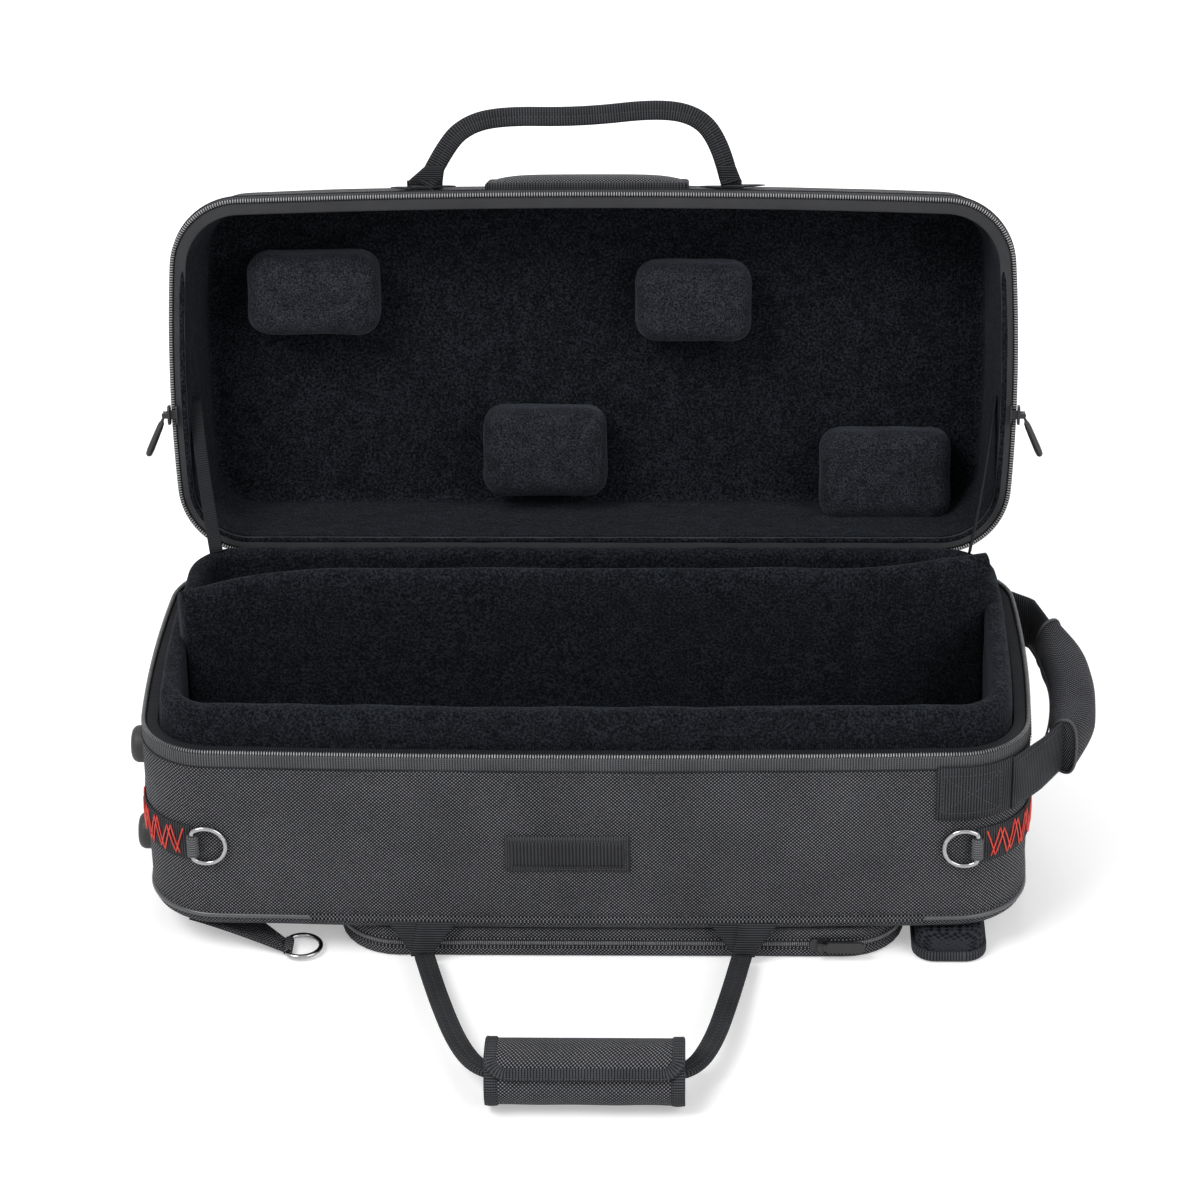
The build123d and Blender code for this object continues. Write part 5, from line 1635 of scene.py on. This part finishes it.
# %% Red zigzag
ZIGZAG_START, ZIGZAG_COUNT, ZIGZAG_OUT = 255.5 * MM, 15, 2.0 * MM
begin = distance_to((ZIGZAG_START, front_line_y(ZIGZAG_START)))
for word, side in (("right", 1), ("left", -1)):
    for row in (0, 1):
        holes = []
        for k in range(ZIGZAG_COUNT + 1):
            s = begin + (TAB_STOP - 5 * MM - begin) * (k + 0.5 * row) / (ZIGZAG_COUNT + 0.5)
            z = TAB_LOW + (2.4 if (k + row) % 2 else 22.6) * MM + 1.2 * MM * sin(k * 2.3 + row)
            p, n = off_wall(s, ZIGZAG_OUT, z)
            holes.append((Vector((p.x * side, p.y, p.z)), Vector((n.x * side, n.y, 0))))
        line, ups = [], []
        for (a, a_up), (b, b_up) in zip(holes, holes[1:]):
            for t in range(6):
                ups.append(a_up.lerp(b_up, t / 6))
                line.append(a.lerp(b, t / 6) + ups[-1] * 0.5 * MM * sin(pi * t / 6))
        zigzag = sweep(f"d_ring_{word}_zigzag_{row + 1}", strap_frames(line, ups),
                       oval(0, 0, 0.55 * MM, 0.45 * MM, 8), RED_THREAD, "base")
print("holes in a row:", ZIGZAG_COUNT + 1)

# %% [markdown]
# Strips of cloth hinge the lid to the base. They become one sheet here, sewn below the rim on the
# base and above it on the open lid, and bent along the hinge line. The sheet is then taken off the
# base's body and stays where it lies.

# %% Cloth hinge
low_edge = Vector((0, BACK + 1.2 * MM, RIM - 26 * MM))
line = soft_route([low_edge, low_edge + Vector((0, 0, 13 * MM)),
                   Vector((0, BACK + 1.8 * MM, RIM - 4 * MM)),
                   Vector((0, HINGE.y + 1.2 * MM, RIM - 3 * MM)),
                   opened((0, BACK + 1.6 * MM, RIM + 6 * MM)),
                   opened((0, BACK - 0.2 * MM, RIM + 16 * MM)),
                   opened((0, BACK - 1.2 * MM, RIM + 26 * MM))], 6)
half = HINGE_HALF - 0.5 * MM
grid = [[Vector((-half + 2 * half * j / 60, p.y, p.z)) for j in range(61)] for p in line]
hinge_cloth = patch("hinge_cloth", grid, 1.4 * MM, NYLON, "base")
ripple(hinge_cloth, 0.3 * MM, 0.03)
run = distances(line)[-1]
hinge_cloth.parent = None
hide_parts("base_hinge_strip", "lid_hinge_strip")
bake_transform(hinge_cloth)
print("hinge cloth:", round(2 * half, 4), "by", round(run, 4), "m")

# %% [markdown]
# Two straps stay the lid, from the rear corners of the plush up to its end walls. They are cloth:
# each is a thin strip that hangs in a slight bow, from the base at its foot to the open lid at its
# top, and rides on neither body.

# %% Stays
for word, side in (("left", -1), ("right", 1)):
    low_corner, high_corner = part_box(f"lid_stay_{word}")
    foot = Vector((side * 252 * MM, 97 * MM, WALL_TOP + 0.8 * MM))
    top = Vector((low_corner.x if side < 0 else high_corner.x, high_corner.y, high_corner.z))
    top = top - Vector((side * 0.9 * MM, 4.5 * MM, 4.5 * MM))
    bow = Vector((side * 1.5 * MM, 3 * MM, -1.5 * MM))
    line = [foot.lerp(top, k / 20) + bow * sin(pi * k / 20) for k in range(21)]
    up = (top - foot).cross(Vector((0, 1, -0.4)) if side > 0 else Vector((1, 0, 0))).normalized()
    stay = sweep(f"stay_{word}", strap_frames(line, tuple(up)), rounded(9 * MM, 1.5 * MM, 0.6 * MM),
                 DARK_TAPE, "base")
    stay.parent = None
    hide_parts(f"lid_stay_{word}")
    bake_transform(stay)
print("stays:", round(distances(line)[-1], 4), "m each")

# %% [markdown]
# Two flat pockets carry a zip round their front and corners: one under the base, one on the lid's
# roof. Each is a bowl with a hollow where the zip runs, and the same tape and teeth as the main
# zip, only finer, lie in it. Cutting the hollow out afterwards would leave sharp edges, so it is
# part of the bowl's profile.


# %% A pocket's cloth
def pocket(name, frames, low, high, edge, groove, body, lid, node_name, edge_up):
    """A bowl between two heights with one soft edge and a groove round it for the zip."""
    soft = [(edge * (1 - sin(t)), edge * (1 - cos(t))) for t in quarter(4)]
    bottom, top = groove
    wall = [(0, top + 0.6 * MM), (1.6 * MM, top - 0.4 * MM), (1.9 * MM, (bottom + top) / 2),
            (1.6 * MM, bottom + 0.4 * MM), (0, bottom - 0.6 * MM)]
    if edge_up:
        profile = [(6 * MM, high)] + [(x, high - z) for x, z in soft] + wall
        profile += [(0, low), (4 * MM, low)]
    else:
        profile = [(6 * MM, low)] + [(x, low + z) for x, z in soft] + wall[::-1]
        profile += [(0, high), (4 * MM, high)]
    piece = bowl(name, frames, profile, NYLON, body, lid, 9 * MM)
    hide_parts(node_name)
    return piece


bottom_frames = rounded_box(-160 * MM, 205 * MM, FRONT + 3 * MM, BACK - 3 * MM, 40 * MM)
pocket("bottom_pocket_cloth", bottom_frames, 0.0, BASE - 0.3 * MM, 3 * MM, (8 * MM, 14 * MM),
       "base", False, "bottom_pocket", False)
roof_frames = rounded_box(-226 * MM, 226 * MM, -92 * MM, 84 * MM, 40 * MM)
roof = pocket("roof_pocket_cloth", roof_frames, ROOF + 0.2 * MM, ROOF + 18 * MM, 5 * MM,
              (ROOF + 6 * MM, ROOF + 12 * MM), "lid", True, "roof_pocket", True)
ripple(roof, 0.5 * MM, 0.05, 6.0)
print("pockets:", len(bottom_frames), "and", len(roof_frames), "frames round")

# %% [markdown]
# The pocket's zip is tape with one row of fine teeth, between two rolled lips of the cover. It
# follows the same frames as the cloth, but only those in front, put in order from left to right.


# %% A pocket's zip
def along_front(p):
    """Sorts points round a front edge from its left end to its right end."""
    return atan2(p.x - 0.02, -(p.y + 0.02))


def pocket_zip(name, frames, middle, stop_y, body, lid, node_name):
    """Tape and teeth along the part of a pocket's outline that lies in front of a line."""
    line = sorted((f for f in frames if f[0].y < stop_y), key=lambda f: along_front(f[0]))
    line = shifted(line, 0, middle)
    tape = sweep(name + "_cloth", line, rounded(0.8 * MM, 5.6 * MM, 0.3 * MM, 2, -1.2 * MM, 0),
                 TAPE_CLOTH, body, lid=lid)
    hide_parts(node_name)
    teeth = scatter(name + "_teeth", spaced(line, 1.25 * MM), bead(0.7 * MM, 1.9 * MM, 0.45 * MM),
                    FINE_TEETH, body, lid)
    for word, dz in (("upper", 2.9 * MM), ("lower", -2.9 * MM)):
        lip = sweep(f"{name}_{word}_lip", shifted(line, -0.5 * MM, dz), oval(0, 0, 0.9 * MM, 0.8 * MM, 8),
                    NYLON, body, lid=lid)


pocket_zip("bottom_zip", bottom_frames, 11 * MM, -40 * MM, "base", False, "bottom_pocket_zip")
pocket_zip("roof_zip", roof_frames, ROOF + 9 * MM, -40 * MM, "lid", True, "roof_pocket_zip")
print("pocket zips sewn")

# %% [markdown]
# The ends of two shoulder straps are tucked under the base on the right: air mesh over padding,
# bound all round in ribbed tape. Each end is a small bowl with soft edges above and below, and
# the tape is swept round the same frames.

# %% Shoulder straps
PAD_LEFT, PAD_RIGHT, PAD_FAR, PAD_NEAR = 211 * MM, 255 * MM, 126 * MM, 40 * MM
PAD_PROFILE = [(x * MM, z * MM) for x, z in
               ((4, 1.6), (1.4, 2.2), (0.2, 6), (0, 11), (0.2, 16), (1.4, 20), (4, 21))]
for word, side in (("front", -1), ("rear", 1)):
    low, high = sorted((side * PAD_FAR, side * PAD_NEAR))
    frames = rounded_box(PAD_LEFT, PAD_RIGHT, low + 2 * MM, high - 2 * MM, 13 * MM, 3 * MM)
    pad = bowl(f"shoulder_{word}_pad", frames, PAD_PROFILE, MESH, "base", False, 5 * MM)
    ripple(pad, 0.5 * MM, 0.02, 2.0)
    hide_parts(f"shoulder_strap_{word}")
    tape = sweep(f"shoulder_{word}_binding", shifted(frames, 0, 4.2 * MM),
                 rounded(3.6 * MM, 7.0 * MM, 1.4 * MM, 3, 0.2 * MM, 0), GROSGRAIN, "base", closed=True)
print("shoulder strap ends:", round(PAD_FAR - PAD_NEAR, 4), "m wide")

# %% [markdown]
# On the left, under the base, a nylon wing slopes down to a ring at each edge. It starts wide
# and narrows to the ring's bar, round which its end is rolled. It is a sheet whose rows draw in
# and sink along its length, and the roll is the same short round strip as on the D-rings.

# %% Wings with rings
WING_ROOT, WING_STEPS = 256 * MM, 16
for word, side in (("front", -1), ("rear", 1)):
    bar = Vector(JOINTS[f"strap_ring_{word}_hinge"]["pos_m"])
    rows = []
    for t in (i / WING_STEPS for i in range(WING_STEPS + 1)):
        near = (FRONT + (15 + (2.5 - 15) * t) * MM) * -side
        far = (FRONT + (71 + (16.3 - 71) * t ** 0.9) * MM) * -side
        x = -WING_ROOT + (bar.x - 2.2 * MM + WING_ROOT) * t
        z = BASE - 1.8 * MM - (BASE - 1.8 * MM - bar.z) * t ** 1.1
        a, b = sorted((near, far))
        rows.append([Vector((x, a + (b - a) * j / 12, z + 0.5 * MM * sin(3 * t + j))) for j in range(13)])
    wing = patch(f"wing_{word}", rows, 2.0 * MM, NYLON, "base")
    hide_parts(f"strap_wing_{word}")
    roll = [(bar + Vector((0, y * MM, 0)), Vector((1, 0, 0)), Vector((0, 0, 1)))
            for y in (-6.6, -5, -2.5, 0, 2.5, 5, 6.6)]
    loop = sweep(f"wing_{word}_roll", roll, oval(0, 0, 3.1 * MM, 3.1 * MM, 20), NYLON, "base")
    hem = strap_frames([row[1] + Vector((0, 0, 1.1 * MM)) for row in rows[1:]], (0, 0, 1))
    stitches(f"wing_{word}_stitches", hem, "base")
print("wings slope to", round(bar.z, 4), "m")

# %% [markdown]
# A padded panel is sewn to the lid's front wall, behind its handle. It is fullest in the middle
# and pulled flat along its bound edge. A grid of points over the wall, pushed out by its
# fullness, gives that shape, and the tape runs round the grid's own edge.

# %% Panel behind the lid handle
PANEL_LEFT, PANEL_WIDE, PANEL_LOW, PANEL_TALL = -69, 131, 22, 40
ACROSS, UPWARDS = 24, 12
rows = []
for i in range(ACROSS + 1):
    x = (PANEL_LEFT + PANEL_WIDE * i / ACROSS) * MM
    row = []
    for j in range(UPWARDS + 1):
        w = (PANEL_LOW + PANEL_TALL * j / UPWARDS) * MM
        full = (1 - abs(2 * i / ACROSS - 1) ** 6) * (1 - abs(2 * j / UPWARDS - 1) ** 4)
        wall = front_line_y(x) + w * LEAN
        row.append(Vector((x, wall - 2.6 * MM - 4.4 * MM * full, RIM + w)))
    rows.append(row)
panel = patch("handle_panel", rows, 4.4 * MM, NYLON, "lid", lid=True, edge=0.9)
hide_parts("lid_panel")
edge_line = rows[0] + [row[-1] for row in rows[1:]] + rows[-1][-2::-1]
edge_line += [row[0] for row in rows[-2:0:-1]]
hem = sweep("handle_panel_binding", strap_frames(edge_line + edge_line[:1], (0, -1, 0)),
            rounded(5 * MM, 5.4 * MM, 1.6 * MM), GROSGRAIN, "lid", lid=True)
print("panel edge points:", len(edge_line))

# %% [markdown]
# Rows of topstitching hold the cover's seams: one under the zip all round, one along the strip
# above the piping, and one above the zip on the lid. Each stitch is a small bead on the cloth,
# because a bump would not stand out against the weave.

# %% Topstitching
for name, z, body, lid in (("base_top_row", RIM - 14.5 * MM, "base", False),
                           ("base_low_row", BASE + 13 * MM, "base", False),
                           ("lid_rim_row", RIM + 14.5 * MM, "lid", True)):
    out = 0.45 * MM - abs(z - RIM) * LEAN * (1 if lid else 0)
    frames = [(o + Vector((0, 0, z)), b, a) for o, a, b in outline_frames(out=out)]
    row = scatter(name, spaced(frames, STITCH_PITCH, closed=True), STITCH, THREAD, body, lid)
print("stitches all round:", int(ROUND / STITCH_PITCH))

# %% [markdown]
# The metal tabs on the two main sliders are sheathed in soft rubber, to give the fingers a hold.
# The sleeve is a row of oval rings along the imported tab, found from the tab's own furthest point,
# fuller towards its end and drawn in at both.

# %% Sleeves on the main pulls
SLEEVE_SIDES, SLEEVE_WIDE, SLEEVE_THICK = 16, 4.5 * MM, 2.3 * MM
SLEEVE_RINGS = ((5, 0.55), (6, 0.8), (9, 0.95), (14, 1.0), (20, 1.05), (26, 1.08), (29.5, 0.95),
                (30.5, 0.6))
for word in ("left", "right"):
    swing = JOINTS[f"main_pull_{word}_hinge"]
    pin, axis = Vector(swing["pos_m"]), Vector(swing["axis"]).normalized()
    tab_points = bpy.data.objects[f"main_pull_{word}"].data.vertices
    reach = max((v.co - pin for v in tab_points), key=lambda far: far.length)
    reach = (reach - axis * reach.dot(axis)).normalized()
    verts, last = [], (len(SLEEVE_RINGS) - 1) * SLEEVE_SIDES
    for run, size in SLEEVE_RINGS:
        for t in (2 * pi * k / SLEEVE_SIDES for k in range(SLEEVE_SIDES)):
            verts.append(pin + reach * run * MM + axis * SLEEVE_WIDE * cos(t) * size
                         + axis.cross(reach) * SLEEVE_THICK * sin(t) * size)
    faces = quads(len(SLEEVE_RINGS), SLEEVE_SIDES)
    faces += [tuple(range(first, first + SLEEVE_SIDES)) for first in (0, last)]
    sleeve = make(f"pull_sleeve_{word}", verts, faces, None, RUBBER, f"main_pull_{word}")
print("pulls sleeved over", SLEEVE_RINGS[-1][0] - SLEEVE_RINGS[0][0], "mm")

# %% [markdown]
# Small hard parts are kept as packed: rings, sliders, pulls and feet have their true shapes
# already, and building them again would only move them. They get their finish by the kind of
# material that the record gives them.

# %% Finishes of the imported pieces
FINISH_OF = {
    "ballistic_nylon": NYLON, "foam_board": FOAM, "plush": PLUSH, "binding_tape": TAPE_CLOTH,
    "zip_coil": FINE_TEETH, "webbing": WEBBING, "mesh_pad": GROSGRAIN, "piping_vinyl": PIPING,
    "hook_tape": GROSGRAIN, "foot_rubber": RUBBER, "ring_chrome": CHROME,
    "slider_metal": BLACK_METAL, "pull_rubber": RUBBER,
}
subparts = frame["record"]["subparts"]
for subpart in subparts:
    materials = bpy.data.objects[subpart["node"]].data.materials
    materials.clear()
    materials.append(FINISH_OF[subpart["material_slot"]])
print("packed pieces finished:", len(subparts))

# %% [markdown]
# Last, the size of the finished case is measured. Soft parts may stand a little proud of it, and
# nothing else may.

# %% Sizes
low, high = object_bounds()
print("box:", [round(c, 4) for c in low], [round(c, 4) for c in high])
